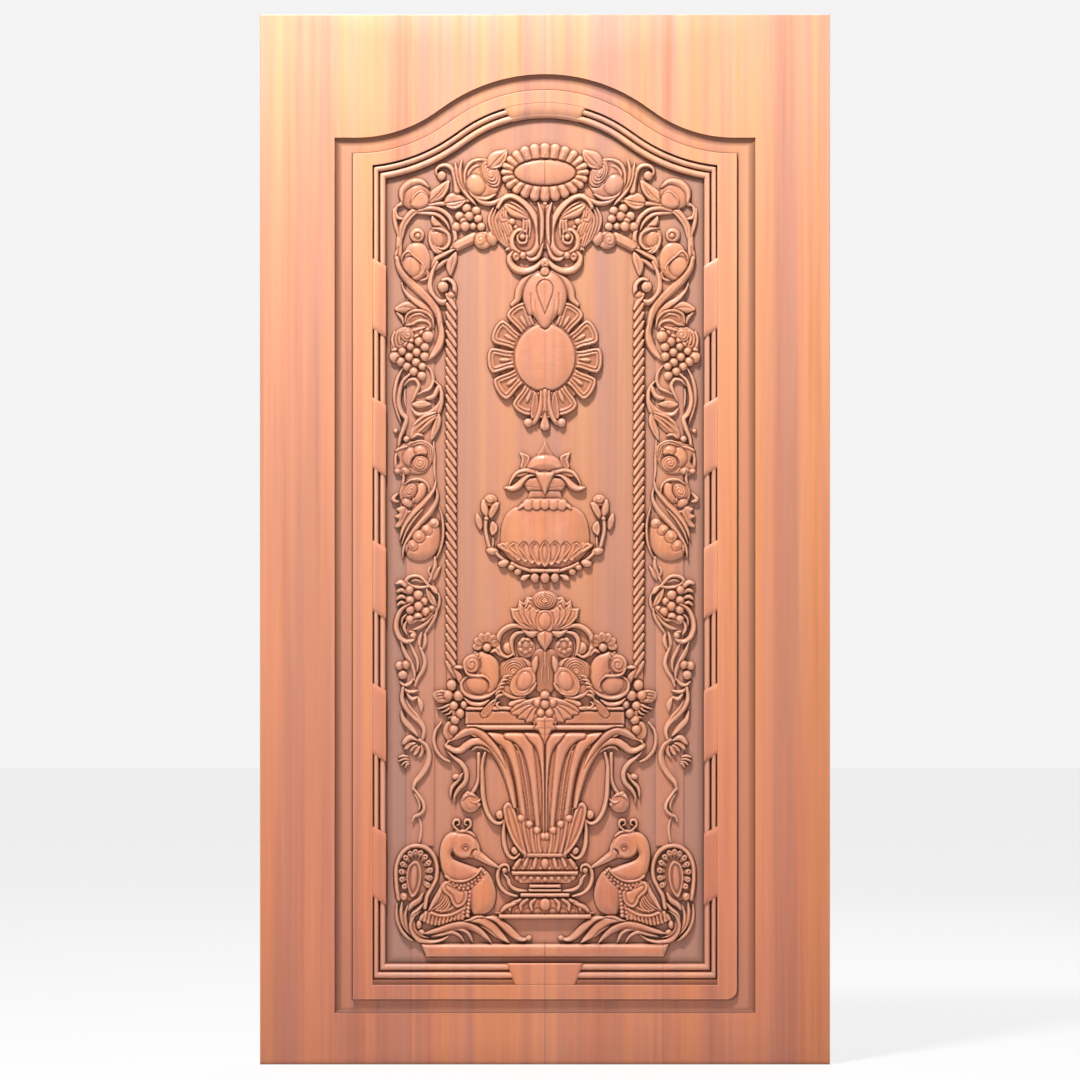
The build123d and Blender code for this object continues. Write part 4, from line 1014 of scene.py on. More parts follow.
def lower_vine_top(r):
    """Bow, split leaf and grapes at the top of the lower vine."""
    r.band(((429, 586), (420, 577), (411, 576.5), (406, 581), (411, 585.8), (420, 587.6), (429, 586.5)), 3.8,
           10.5, 3.5, "round", "even")
    r.band(((410, 582), (416, 580), (424, 583)), 4, 8, 3.5, "right", "both")
    r.band(((430, 586), (433, 589), (437.5, 594)), 6.4, 11.5, 4, "left", "both")
    r.band(((438, 592), (439.5, 600), (438, 608), (434, 615)), 3.4, 9, 3.5, "round", "both")
    r.pillow(((425, 588), (431, 592), (436, 600), (437, 608), (431, 605), (427, 597)), 9.5, 3.5, 3)
    r.band(((426.5, 588), (428.5, 597), (434, 606.5)), 3.8, 11.4, 5, "right", "both", 2.0)
    r.band(((395, 584), (401, 582.5), (406.5, 587), (409, 593)), 6.4, 11, 3.5, "left", "both")
    r.band(((396, 592), (402, 590), (407, 594)), 5, 9.5, 3.5, "right", "both")
    r.band(((396, 600), (401, 596.5), (407, 599)), 4.8, 11, 3.5, "right", "both")
    r.band(((396.5, 606), (401.5, 602.5), (407, 605)), 4.8, 11, 3.5, "right", "both")
    for x, y, size in ((424, 601.5, 4.6), (409.5, 590, 4.8), (418, 595, 5.4), (410, 600.5, 4.9),
                       (418.6, 606.4, 5.4), (431.8, 609, 4.0), (426, 612, 5.2), (410, 610, 4.9),
                       (418, 617.2, 5.2), (410, 619.6, 4.9)):
        r.dome(x, y, size, size, 9.4 + 0.7 * size, 3.5, cut=3.0)


def lower_vine_curl(r):
    """The big curling bract, its ribbons and the leaves round them."""
    r.band(((410, 625), (417, 620), (424, 620), (431, 614), (436, 608)), 5, 9, 3.5, "left", "both")
    r.band(((412, 630), (420, 627.5), (428, 622), (434, 614)), 4.8, 11, 4, "right", "both")
    r.band(((437, 607), (435, 617), (428.5, 628), (423, 636)), 4.4, 10, 4, "left", "both")
    r.band(((410, 604), (402, 609), (397.3, 618), (396.2, 629), (400, 638), (407, 641.8), (413.6, 639),
            (414.6, 633.4), (410, 632)), 6.4, 11.5, 3.5, "left", "swell")
    r.band(((408, 613), (402.5, 619), (401.5, 627)), 3, 8.5, 4, "round", "both")
    r.band(((406.5, 621), (404, 628), (407.5, 635.5)), 3.8, 11, 5, "left", "both")
    r.dome(413, 635.8, 3.6, 3.8, 12.2, 4)
    r.pillow(((422, 631), (418, 637), (417, 644), (420.5, 651), (422, 641)), 9.5, 3.5, 2.4)
    r.pillow(((424.5, 632), (427.5, 638), (427, 645), (421.5, 652), (422.5, 641)), 11, 3.5, 2.4)
    r.band(((400.5, 641), (404, 651), (409.5, 661), (414, 671), (414.5, 682)), 6, 11, 3.5, "right", "both")
    r.band(((409, 642), (413, 651), (417.5, 661), (417, 673)), 5, 10, 3.5, "right", "both")
    r.band(((420, 648), (423, 655), (424.8, 663), (422.5, 671), (418, 678), (415, 686)), 5.4, 11, 4, "left",
           "swell")
    for x, y, size in ((399.6, 666, 4.6), (406, 665, 4.7), (402.6, 675, 4.9)):
        r.dome(x, y, size, size, 12, 3.5, cut=3.0)
    r.band(((399, 681), (404, 685.4), (410, 683.5), (414, 678)), 4.8, 9.5, 3.5, "left", "both")
    r.band(((403, 688), (409, 692), (418.5, 690.8)), 4.4, 11.5, 4, "round", "both")
    r.band(((406.5, 693.5), (412, 699), (418, 696.5)), 5.2, 12, 4, "left", "both")
    r.pillow(((417, 697), (421.5, 700), (424, 706), (421, 713), (417.8, 706)), 10.5, 3.5, 2.6)
    r.cut_line(((418.5, 699), (421, 705), (420.5, 711)), 1.2, 1.8)


def lower_vine_ribbons(r):
    """Long ribbons, the bow with its petals, and the tail that runs down to the peacock's loop."""
    r.band(((401, 711), (403.5, 720), (410, 727.5), (418.5, 737)), 7, 10.5, 3.5, "left", "both")
    r.band(((403, 688), (402, 699), (406, 708), (413, 716), (420, 722.5), (424, 731), (422, 741)), 7, 11.5,
           3.5, "left", "swell")
    r.band(((406, 700), (411, 709), (418, 716.5), (421.5, 724)), 2.8, 10.5, 6, "round", "both", 1.4)
    r.pillow(((401.5, 744.5), (404.5, 737.8), (410.5, 734.6), (416, 738), (419, 742), (411.5, 741),
              (406.5, 744.5)), 12, 4, 3)
    r.band(((404.5, 750), (409, 745.5), (416, 743)), 7, 11, 3.5, "left", "both")
    r.band(((410, 752), (413, 748.5), (418, 745)), 6, 10.5, 3.5, "right", "both")
    r.band(((413.5, 755.5), (417, 751.5), (419.5, 746)), 6.4, 11, 3.5, "left", "both")
    r.band(((418.5, 758.5), (422.5, 751), (421, 744.5)), 5.4, 10.5, 3.5, "right", "both")
    for start, end in (((399, 757.5), (408, 757)), ((399, 761.3), (408.5, 759.5)),
                       ((401.5, 765.2), (409, 761.6)),
                       ((405, 767.5), (409.5, 763.5))):
        middle_point = ((start[0] + end[0]) / 2, (start[1] + end[1]) / 2 - 1.2)
        r.band((start, middle_point, end), 3.0, 10.8, 4, "round", "swell", 2.2, 0.9)
    r.band(((419.5, 740), (426, 746), (429, 755), (427.5, 765), (421.5, 775), (415.5, 782), (413, 789)), 7.4,
           11.5, 3.5, "right", "swell")
    r.cut_line(((422, 746), (425, 756), (422, 766), (416, 776)), 1.3, 1.8)
    r.band(((413, 788), (418, 795), (423, 803), (423.8, 810), (419.5, 814.6), (414.5, 817), (412.5, 821.5)),
           4.8, 11, 3.5, "left", "swell")
    r.band(((413.5, 793), (418, 800), (419.8, 806.5), (418, 812)), 3.4, 9, 4, "round", "both")
    r.band(((418.5, 817), (421, 827), (420.5, 837), (418, 846)), 3.8, 8.5, 3.5, "round", "both")


def lotus(r):
    """The lotus over the basket: rows of cupped petals round a coiled heart and an egg-shaped bud."""
    for half, crest in (
        (((545, 597), (533, 597.5), (527, 597), (523.8, 603), (519, 600.4), (517.6, 608.5), (510.6, 608.8),
          (512.5, 618), (519.5, 626), (531, 630.8), (545, 632)), 10.5),
        (((545, 599), (531, 601), (527.6, 598.4), (524, 607), (519.4, 602.4), (518.6, 613), (523.5, 623),
          (532.5, 629.5), (545, 632)), 12),
        (((545, 601), (532.5, 606), (529, 603.5), (526, 609), (523.8, 606), (524.4, 616), (529, 624.5),
          (536.5, 630), (545, 632)), 13),
        (((545, 605), (536.5, 610), (533, 606), (529.4, 609.5), (530, 618), (533, 625), (539, 630.5),
          (545, 632)), 13.8),
    ):
        r.pillow(r.mirrored(half), crest, 5, 3.0, 3.4, 1.4, sharp=True,
                 rims=((1.1, 0.8, 1.4), (3.0, 0.8, -1.4)))
    r.swirl(545, 601.3, 13.6, 10.4, 0, 14.6, 6, 5.2, 4.2, 0.25)
    r.pillow(r.mirrored(((545, 609.5), (538.5, 611.5), (535.5, 618), (536, 626), (539, 632), (545, 633))),
             13.4, 6, 4, rims=((1.4, 0.9, 0.6), (3.6, 1.0, -2.0)))
    r.dome(545, 621, 7.2, 9.6, 15, 7, 0, 0.45, 1.6, 0.9)
    r.pillow(((521, 629), (529, 630.5), (540, 631), (538, 635), (531, 638), (525, 634)), 11.5, 4, 3.4)
    r.pillow(r.mirrored(((545, 630), (538, 632.5), (536.8, 638), (539.5, 644), (545, 651.5))), 12.6, 4, 5)
    r.cut_line(((545, 633), (545, 648)), 1.3, 1.2)


def basket_scrolls(r):
    """Scrolls, dark roses and leaves that spring from under the lotus."""
    # Low rose and leaves behind the scrolls
    r.pillow(r.mirrored(((545, 648), (534, 652), (530, 668), (533, 684), (540, 694), (545, 696))), 5.5, 3, 5)
    r.dome(526, 648, 9.5, 10.5, 6.0, 3.0, power=0.4)
    for k in range(7):
        a = radians(40 + 51 * k)
        r.dome(525.5 + 5.4 * cos(a), 646 + 6.2 * sin(a), 3.6, 2.8, 8.2, 3.5, 40 + 51 * k + 75, 0.5, 2.6, 1.0)
    r.swirl(526, 645.5, 4.6, 4.8, 20, 9.6, 4, 2.2, 2.6)
    r.band(((543.6, 660), (541.6, 672), (541.8, 686)), 2.2, 7.6, 3.5, "round", "both", 1.6)
    r.band(((545, 652), (545, 666), (545, 684)), 2.6, 8, 3.5, "round", "tip", 1.6)
    r.band(((527, 629), (516, 625.6), (506.5, 628), (499.5, 635), (497.4, 645), (500.5, 653), (507, 657),
            (513, 654)), 6.2, 11.8, 3.5, "left", "swell")
    r.dome(508.3, 648.6, 5.6, 6.4, 12.6, 4)
    r.cut_line(((505.5, 649), (508.5, 652), (511.5, 649)), 1.1, 1.4)
    r.band(((527, 632), (517, 633.5), (511.8, 640), (512, 649), (515, 657)), 5, 10.5, 4, "left", "both")
    # Small flower with a bead for its heart
    for k in range(6):
        a = radians(175 + 34 * k)
        r.dome(486.5 + 9 * cos(a), 646 + 8.5 * sin(a), 4.2, 5.4, 7.4, 3.0, k * 34 - 95, 0.5, 2.4, 1.1)
        r.dome(486.5 + 9 * cos(a), 646 + 8.5 * sin(a), 2.0, 3.4, 5.6, 5.4, k * 34 - 95, 0.5, 1.4, 0.7)
    r.dome(487, 647.8, 4.5, 4.5, 12.4, 4)
    r.band(((474, 652), (479, 655), (485, 653)), 4.4, 10, 4, "left", "both")
    r.band(((490, 653), (495.5, 650.5), (500, 656)), 4.4, 10.5, 4, "left", "both")


def basket_flowers(r):
    """Bud, roses, grapes and leaves heaped over the basket's rim."""
    # Branch, outer leaves and grapes beyond the rim
    r.band(((451, 668), (458, 667.4), (466, 668.5)), 4.6, 9.5, 3.5, "left", "both")
    r.pillow(((451.5, 668), (458, 671), (463, 678), (461, 686), (456.5, 680)), 8.5, 3.5, 3)
    r.pillow(((449, 691), (438, 690.5), (432.6, 694), (434.5, 700), (441, 703.5), (449, 702)), 8.5, 3.5, 3)
    for k in range(4):
        r.band(((449, 692.5 + 2.7 * k), (440.5, 691.3 + 3.1 * k), (433.8 + 1.2 * k, 693.2 + 2.7 * k)), 3.4,
               11, 4.5, "round", "tip", 2.2, 0.9)
    for k in range(5):
        x, y = 437 + 3.4 * k, 707 + 2.9 * k
        r.band(((449 + 1.6 * k, 705 + 2.2 * k), (x + 5.5, y + 0.8), (x, y + 2.2)), 3.5, 11, 4, "round", "tip",
               2.2, 0.9)
    r.pillow(((449, 721), (443.5, 727), (443, 735), (448, 741), (455, 737), (454, 727)), 8.5, 3.5, 4)
    r.cut_line(((449, 725), (448, 732), (449, 739)), 1.4, 1.8)
    for x, y, rx, ry in ((453.5, 730, 5.0, 5.4), (455, 720, 4.9, 4.9), (460, 713.6, 4.9, 5.2),
                         (464, 705, 3.8, 4.4), (453.6, 706, 4.8, 5.0), (451.6, 685.5, 5.2, 6.0),
                         (448, 695.5, 5.5, 5.5), (458.5, 696, 5.6, 5.6)):
        r.dome(x, y, rx, ry, 13.2, 3.5, cut=3.0)
    # The big bud: broad petals round a coil
    r.pillow(((466, 676), (463, 664), (468, 655.5), (480, 652.5), (492, 655), (499, 664), (501.5, 677),
              (498, 690), (488, 698), (473, 698), (462, 691), (460.5, 682)), 9, 3.5, 6)
    r.pillow(((478.5, 654.5), (487, 653.5), (495, 658.5), (499.5, 668), (500.2, 680), (496, 690), (488, 694),
              (481, 684)), 14.2, 5, 13)
    r.band(((481, 655), (477.5, 663), (480, 672)), 2.6, 13.4, 8, "round", "both", 1.6)
    r.swirl(471.8, 665, 9.8, 10.2, 0, 13.4, 6, 2.4, 3.0, 0.3)
    r.dome(477.5, 685, 12.4, 9.8, 13.6, 5, 12)
    r.band(((463.4, 667), (468, 674.2), (476.5, 676), (484.5, 676.4), (490, 682), (490.5, 689)), 3.4, 14.2, 8,
           "round", "both", 2.2)
    r.band(((467, 676), (461.6, 683), (462.6, 691), (470, 696.6), (481, 698), (491, 694.5), (499, 688)), 5.6,
           12.4, 4.5, "left", "both")
    r.band(((464, 698), (471, 703.5), (481, 704.5), (490, 699.5)), 6.4, 12, 4, "left", "both")
    # Ruffled rose with a smooth petal beside it
    r.pillow(((503, 672), (508, 662), (518, 657.5), (528, 660), (535, 668), (536, 680), (531, 690),
              (520, 697), (507, 697), (499, 691), (499, 681)), 8.5, 3.5, 5)
    r.swirl(513.5, 672, 14.5, 15.5, 25, 13.2, 5, 6.0, 4.0, 0.2, 0.4)
    for k in range(6):
        t = k / 5
        x, y = 504.5 - 7 * sin(1.8 * t), 677 + 19 * t
        r.band(((x + 6.5, y - 1.5), (x + 1.0, y - 0.4), (x - 2.6, y + 3.4)), 3.6, 12.2, 5, "round", "both",
               3.0, 1.1)
    r.pillow(((530, 667), (520, 669.5), (512, 678), (509.5, 688), (514, 695.5), (524, 696.5), (533, 691),
              (536, 681), (534.5, 671)), 11, 5, 2.4, 3.0, 1.2, rims=((1.2, 0.9, 1.6), (4.2, 0.9, 1.4)))
    r.dome(524.6, 681, 7.8, 10.4, 15.2, 8, 22, 0.5, 2.4, 1.1)
    r.pillow(((536.5, 655.5), (532, 661), (531.4, 668), (534.5, 674), (537.8, 668), (538.6, 660)), 11.5, 4,
             2.8)
    r.band(((528.5, 692.5), (533, 688), (536.5, 682.5)), 5.0, 11, 4, "left", "both")
    r.band(((499, 688), (506, 694.5), (516, 698), (527, 696.5)), 4.6, 10.5, 4, "left", "both")
    # Leaves that hang over the rim
    r.pillow(((497, 699), (490, 701.5), (483, 708), (479.6, 714.5), (483.5, 718.8), (489.5, 716),
              (493.5, 708)), 11, 4, 3)
    for k in range(3):
        r.cut_line(((495 - 0.5 * k, 701 + k), (487.5 + 1.6 * k, 707.5 + 0.6 * k),
                    (482.6 + 2.4 * k, 715 + 0.5 * k)), 2.0, 2.6)
    r.pillow(((508.5, 703), (515, 699.8), (526, 698.5), (524, 703.5), (516, 707.5), (509, 707)), 12, 4, 3)
    r.band(((506, 709), (499.5, 708.2), (496.6, 704.6), (500, 701.5)), 3.6, 10.5, 4, "round", "both")
    r.pillow(((543, 696), (534, 698), (524, 700.5), (515, 704.5), (509.4, 710.4), (511, 715), (517, 715.8),
              (517.4, 719.2), (524, 719.6), (526, 723.6), (532, 722.4), (533.6, 726.4), (540, 722),
              (543, 712)), 12.2, 4.5, 3.2, 3.2, 1.3, sharp=True)
    for end in ((511.5, 712.5), (516.5, 718), (525, 722.5), (532.6, 725.4)):
        r.cut_line(((541, 703), ((541 + end[0]) / 2 - 1, (703 + end[1]) / 2 - 2.2), end), 2.2, 3.0)
    r.band(((540, 700), (526, 702), (513, 709.6)), 3.0, 13.4, 7, "round", "both", 1.8, 0.8)
    half = ((545, 714), (539, 715.5), (533.5, 720), (536, 724.5), (532, 729.5), (538, 731), (540.5, 738),
            (545, 746.5))
    r.pillow(r.mirrored(half), 13.2, 5, 3.4, sharp=True)
    for start, end in (((545, 722), (535.5, 721)), ((545, 728.5), (534.5, 729.3)),
                       ((545, 735), (539.6, 733.5))):
        r.cut_line((start, ((start[0] + end[0]) / 2, start[1] - 0.4), end), 1.3, 1.6)
    r.cut_line(((545, 720), (545, 743)), 1.3, 1.4)
    for x, y, size in ((545, 695.6, 5.0), (537.4, 703.2, 4.9), (545, 704.6, 5.4), (540.7, 713.2, 5.0)):
        r.dome(x, y, size, size, 14.2, 4, cut=3.0)


def basket_body(r):
    """The basket: a fluted bell in a cup of curled petals, on a banded bowl and a spreading foot."""
    edge = ((486, 731), (495, 742), (503, 757), (509, 772), (513, 790), (517, 812), (522, 835), (527, 856))
    r.pillow(r.mirrored(edge), 8, 3.5, 16, fall=(0, -0.02))
    # Flutes: rolled heads that sweep in to the middle, with fine ridges in the channels between
    fine = (
        ((489, 743), (496, 744), (503, 755), (509, 769), (513, 785), (516, 803), (519, 824)),
        ((500, 747), (505, 748.5), (510, 758), (514.6, 775), (517.8, 795), (520.4, 815), (523, 834)),
        ((511, 745), (516.5, 746), (521.2, 757), (525, 775), (527.8, 795), (530, 815), (532, 838)),
        ((517, 752), (519, 762), (522.5, 780), (525.6, 800), (528.6, 826)),
        ((529, 744), (533.6, 746), (537.2, 757), (539.4, 775), (540.6, 795), (541.4, 838)),
        ((535, 752), (536.6, 764), (538.4, 782), (539.6, 802), (540, 832)),
    )
    for points in fine:
        r.band(points, 3.0, 10.8, 5, "round", "tip", 2.6, 1.0, 0.12)
    flutes = (
        (((470, 734), (484, 732.4), (498, 733), (507, 736.5), (513.5, 744), (517.5, 756), (520.8, 772),
          (523.6, 792), (526.4, 815), (529, 838), (524.5, 838), (520.8, 815), (517.6, 795), (514, 775),
          (508, 757), (501.5, 747), (492, 741.5), (478, 739)), 14.2),
        (((504, 733.4), (514, 732.4), (523, 733), (529, 736.5), (533.2, 744), (535.3, 756), (537, 772),
          (538.4, 792), (539.8, 815), (540.4, 838), (536.6, 838), (534, 815), (531.6, 795), (528.6, 775),
          (524.2, 757), (519, 747.5), (512.5, 742), (504.5, 739.5)), 14.4),
        (((524, 733.4), (531, 732.6), (538, 733.6), (542.6, 737.5), (544.6, 744), (544.8, 790), (544.8, 838),
          (543, 838), (542.4, 800), (541.2, 775), (538.4, 757), (534.2, 747), (528.6, 741.8)), 14.6),
    )
    for outline, crest in flutes:
        r.pillow(outline, crest, 5.5, 4.5, 3.2, 1.2, fall=(0, -0.022))
    # Cup of petals whose curled tips step down to the middle
    cup = ((507, 808), (513, 811), (521, 819), (529, 826), (537, 832), (545, 838), (545, 856.5), (527, 857),
           (519, 852), (512.5, 842), (508, 828))
    r.pillow(cup, 11.5, 4.5, 5, 3.4, 2.0, sharp=True)
    for tip, low, width in (((543.4, 838), (544, 857), 6), ((536.6, 832), (539.5, 857), 8.6),
                            ((529, 826), (533.6, 857), 9), ((521, 820), (528, 856), 9.4)):
        middle_point = ((tip[0] + low[0]) / 2 - 0.8, (tip[1] + low[1]) / 2)
        r.band((tip, middle_point, low), width, 14, 6, "vein", "even", 3.4, 1.3)
        r.dome(tip[0], tip[1] - 1.4, 4.3, 3.9, 15.8, 8, 0, 0.5, 3.4, 1.3)
    r.pillow(((503, 812), (504.2, 805.5), (508.5, 802.5), (513.4, 806.5), (517, 816), (520.5, 828),
              (524, 842), (527.5, 857), (519, 851), (511.5, 840), (506, 826)), 12.6, 5, 2.6, 3.2, 1.3,
             rims=((1.4, 1.0, 1.8), (4.0, 1.0, -2.2)))

    def ledge(low, high, half_low, half_high, crest, rim):
        r.pillow(((545 - half_high, high), (545 + half_high, high), (545 + half_low, low),
                  (545 - half_low, low)), crest, 4, rim, sharp=True)

    # Banded bowl: eggs and darts over and under a ring
    ledge(857.4, 853.2, 18.5, 18.5, 13, 1.9)
    ledge(871, 857.4, 33, 22, 9, 4)
    for start, end in (((536, 859), (533.6, 868.5)), ((527.5, 859), (523.5, 868.5)),
                       ((520, 860), (514.8, 868))):
        middle_point = ((start[0] + end[0]) / 2, (start[1] + end[1]) / 2)
        r.band((start, middle_point, end), 6.0, 14.2, 5, "left", "swell", 3.4, 1.2)
    for k in range(4):
        x = 540.6 - 8.8 * k
        r.dome(x, 868.6, 2.3, 2.0, 11, 5, 0, 0.5, 1.6, 0.8)
    r.dome(545.2, 864, 4.6, 6.0, 14.4, 6, cut=3)
    ledge(883.6, 874, 25, 32.5, 8.5, 3)
    for k in range(5):
        r.dome(545.2 - 7.0 * k, 879.4 - 0.5 * k, 3.0, 3.3, 12 - 0.4 * k, 5, 0, 0.5, 2.4, 1.0)
    ledge(875.2, 871.2, 33.5, 33.5, 13.4, 1.9)
    ledge(888.4, 884.6, 15.8, 15.8, 12, 1.8)
    ledge(892.4, 889, 16.5, 16.5, 11.5, 1.6)
    ledge(897.4, 893, 24.8, 24.8, 13, 2.0)
    # Spreading foot with an egg between leaves
    bell = ((519, 898.5), (515, 903), (508, 908.5), (501, 912), (500, 914.5), (545, 914.6))
    r.pillow(r.mirrored(((545, 898), *bell[:-1])), 9, 4, 4)
    for x in (537.5, 528, 518, 508):
        r.dome(x, 911.5, 4.6, 3.6, 8.4, 5, 0, 0.5, 2.4, 1.0)
    for start, middle_point, end in (
        ((535, 899.5), (531, 904), (531.8, 910.5)),
        ((527.6, 899.5), (521.2, 904.5), (521, 910.5)),
        ((520.5, 900), (511.5, 905), (509.5, 910.5)),
        ((515.5, 903.5), (506, 907.5), (501.5, 911.5)),
    ):
        r.band((start, middle_point, end), 5.4, 14.0, 4.5, "left", "swell", 3.4, 1.2)
    r.dome(545, 904.6, 6.0, 6.6, 14.6, 6, cut=3)
    ledge(919, 914.2, 47, 46, 14, 2.3)


def basket_rim(r):
    """The bars of the rim, and the broad lip that rolls out to each side."""

    def bar(top, low, half, crest, rim):
        r.pillow(((545 - half, top), (545 + half, top), (545 + half, low), (545 - half, low)), crest, 4, rim,
                 sharp=True)

    bar(711, 724.6, 80, 9.6, 1.6)
    bar(706.4, 710.6, 80, 13, 2.0)
    bar(724.6, 730.4, 79, 14.2, 2.8)
    r.band(((471, 751), (477, 747), (485, 748.5), (492, 754)), 4.4, 10, 4, "right", "both")
    r.band(((446.5, 746), (453, 750.4), (460, 750.6), (466.5, 746), (474, 742), (482.5, 742), (490.5, 746),
            (497.5, 754.5), (503.5, 765.5), (508.5, 779), (512, 793), (514.5, 807)), 10, 12.6, 4, "left",
           "swell")
    r.band(((446.6, 745), (449.5, 740), (456.5, 737), (463.5, 733.2), (471, 730.8), (479, 732.6), (486, 738),
            (493.5, 746), (500.5, 756.5), (506, 768)), 9.4, 13.8, 4.5, "right", "both", 2.6)
    r.cut_line(((448.5, 744), (452, 741.8), (456.5, 740.5)), 2.0, 4.0)


def handles(r):
    """Scrolled handles, the pomegranate on its stem and the tendril beside it."""
    r.band(((441, 723), (435.4, 731), (433.8, 741), (436.5, 751), (443, 758.5), (450, 762)), 4.4, 9.8, 3.5,
           "right", "swell")
    r.band(((446.5, 750), (453, 757), (461, 763.5), (466, 772), (465, 782), (458, 790), (454.5, 797),
            (454.8, 804)), 6, 10.5, 3.5, "left", "both")
    r.band(((463, 776), (457, 782), (451.5, 789), (450.3, 799)), 4, 10, 3.5, "round", "both")
    r.dome(455.8, 777, 4.0, 3.0, 11, 4, -10)
    r.band(((457, 779), (460, 777), (463, 773)), 3.0, 9.5, 4, "round", "both")
    r.band(((478.6, 754), (478.8, 768), (478.4, 780), (475.5, 788), (471.5, 794)), 4.4, 10.5, 3.5, "left",
           "even")
    r.band(((485, 753), (482.2, 765), (482.2, 784), (483.6, 801), (488, 814.5), (494.5, 822.4), (501, 823.2),
            (505, 819)), 5.8, 11.5, 3.5, "left", "swell")
    r.dome(470.3, 803.2, 10.2, 9.8, 13.4, 3.5)
    r.band(((462, 800), (466, 795.5), (471.5, 794.5), (476, 797)), 4.4, 13.8, 7, "round", "both", 2.0)
    r.band(((470, 797), (471.5, 801.5), (477, 802.5), (480.5, 799)), 3.6, 14, 7, "round", "both", 1.8)
    r.dome(468, 793.6, 2.6, 2.0, 13, 6)
    r.dome(478.6, 804.6, 2.4, 2.2, 12.6, 6)
    r.cut_line(((465, 803), (467, 808), (472, 811.5)), 1.3, 1.4)
    r.dome(500.4, 815.4, 4.9, 4.9, 12, 4)
    r.swirl(500.4, 815.4, 4.4, 4.4, 0, 13, 6, 1.6, 2.4)
    r.band(((505, 818), (503.6, 832), (504.6, 846), (508.5, 855.5), (514.5, 858.5), (519.5, 854)), 5.2, 11.5,
           3.5, "left", "swell")
    r.dome(515, 851.2, 4.4, 4.6, 12, 4)
    r.swirl(515, 851.2, 4.0, 4.2, 0, 13, 6, 1.6, 2.2)
    r.band(((509, 871), (508, 866.4), (503.4, 865.2), (499, 869), (497.6, 878), (500.4, 887), (507, 893.4),
            (517, 896.6)), 4.6, 11.8, 3.5, "left", "swell")
    r.dome(504.6, 870.4, 3.2, 3.2, 11, 4)
    r.band(((502.5, 873), (507.5, 879), (508, 886)), 3, 8.5, 4, "round", "both")
    r.band(((509.5, 879), (510.5, 886), (517, 890.3), (528, 891.5)), 3.8, 10.5, 4, "round", "both")


def peacock_tail(r):
    """The looped tail behind the peacock, its eye of curls and beads, and the ribbons at its foot."""
    r.band(((397, 903), (396.5, 915), (399, 926), (405, 936), (414, 942)), 4.6, 9, 3, "left", "both")
    r.band(((402, 901), (401, 914), (404, 926), (411, 936)), 4.6, 9.5, 4, "round", "both")
    r.band(((408, 905), (405, 916), (407, 927), (414, 936)), 4.2, 9, 4, "left", "both")
    r.band(((398, 924), (403, 933), (411, 941)), 3.6, 10.5, 4, "round", "both")
    r.dome(416, 874, 20.5, 29, 5.0, 3.5, power=0.3)
    r.band(((398.5, 899), (396.5, 886), (396.3, 868), (401, 855), (409, 847.8), (418, 846), (427, 849),
            (434, 857), (437, 868), (436, 879), (431.5, 888), (427, 897), (425, 908)), 4.8, 12, 4.5, "right",
           "even")
    for k in range(13):
        a = radians(-128 + 21 * k)
        ox, oy = sin(a), -cos(a)
        x, y = 415.8 + 14.6 * ox, 873.5 + 21.5 * oy
        px, py = -oy, ox
        inner = (x - 6.5 * ox, y - 6.0 * oy)
        r.band((inner, (x - 2 * ox, y - 2 * oy), (x + 3.4 * ox, y + 3.4 * oy)), 6.4, 11.4, 4.5, "hollow",
               "drop", 2.8, 1.0)
        r.band(((x - 2.4 * px - 1.5 * ox, y - 2.4 * py - 1.5 * oy), (x + 1.9 * ox, y + 1.9 * oy),
                (x + 2.4 * px - 1.5 * ox, y + 2.4 * py - 1.5 * oy)), 1.5, 12.4, 8, "round", "both", 1.0, 0.6)
        r.dome(x - 1.4 * ox, y - 1.4 * oy, 1.5, 1.5, 12.4, 7, cut=1.2, reach=0.6)
    r.pillow(((414.5, 861), (408, 866), (405.6, 878), (407.5, 890), (411, 898), (416.5, 895), (421, 884),
              (421.8, 871), (419, 863)), 7, 4, 2.2, 2.2, 1.0, rims=((1.5, 1.0, 3.6),))
    r.dome(413.6, 878.5, 3.8, 13.5, 11, 6.5, 4, 0.5, 0.8, 0.8)
    r.dome(403.6, 896.8, 4.2, 4.2, 11.5, 4)
    r.swirl(403.6, 896.8, 3.6, 3.6, 0, 12.4, 9, 1.4, 2.0)
    r.band(((423, 893), (419, 900), (412, 905), (408.5, 911)), 6.5, 12, 4, "left", "both")
    r.band(((424, 903), (418, 910), (413, 914), (409.5, 920)), 4.6, 11, 4, "right", "both")


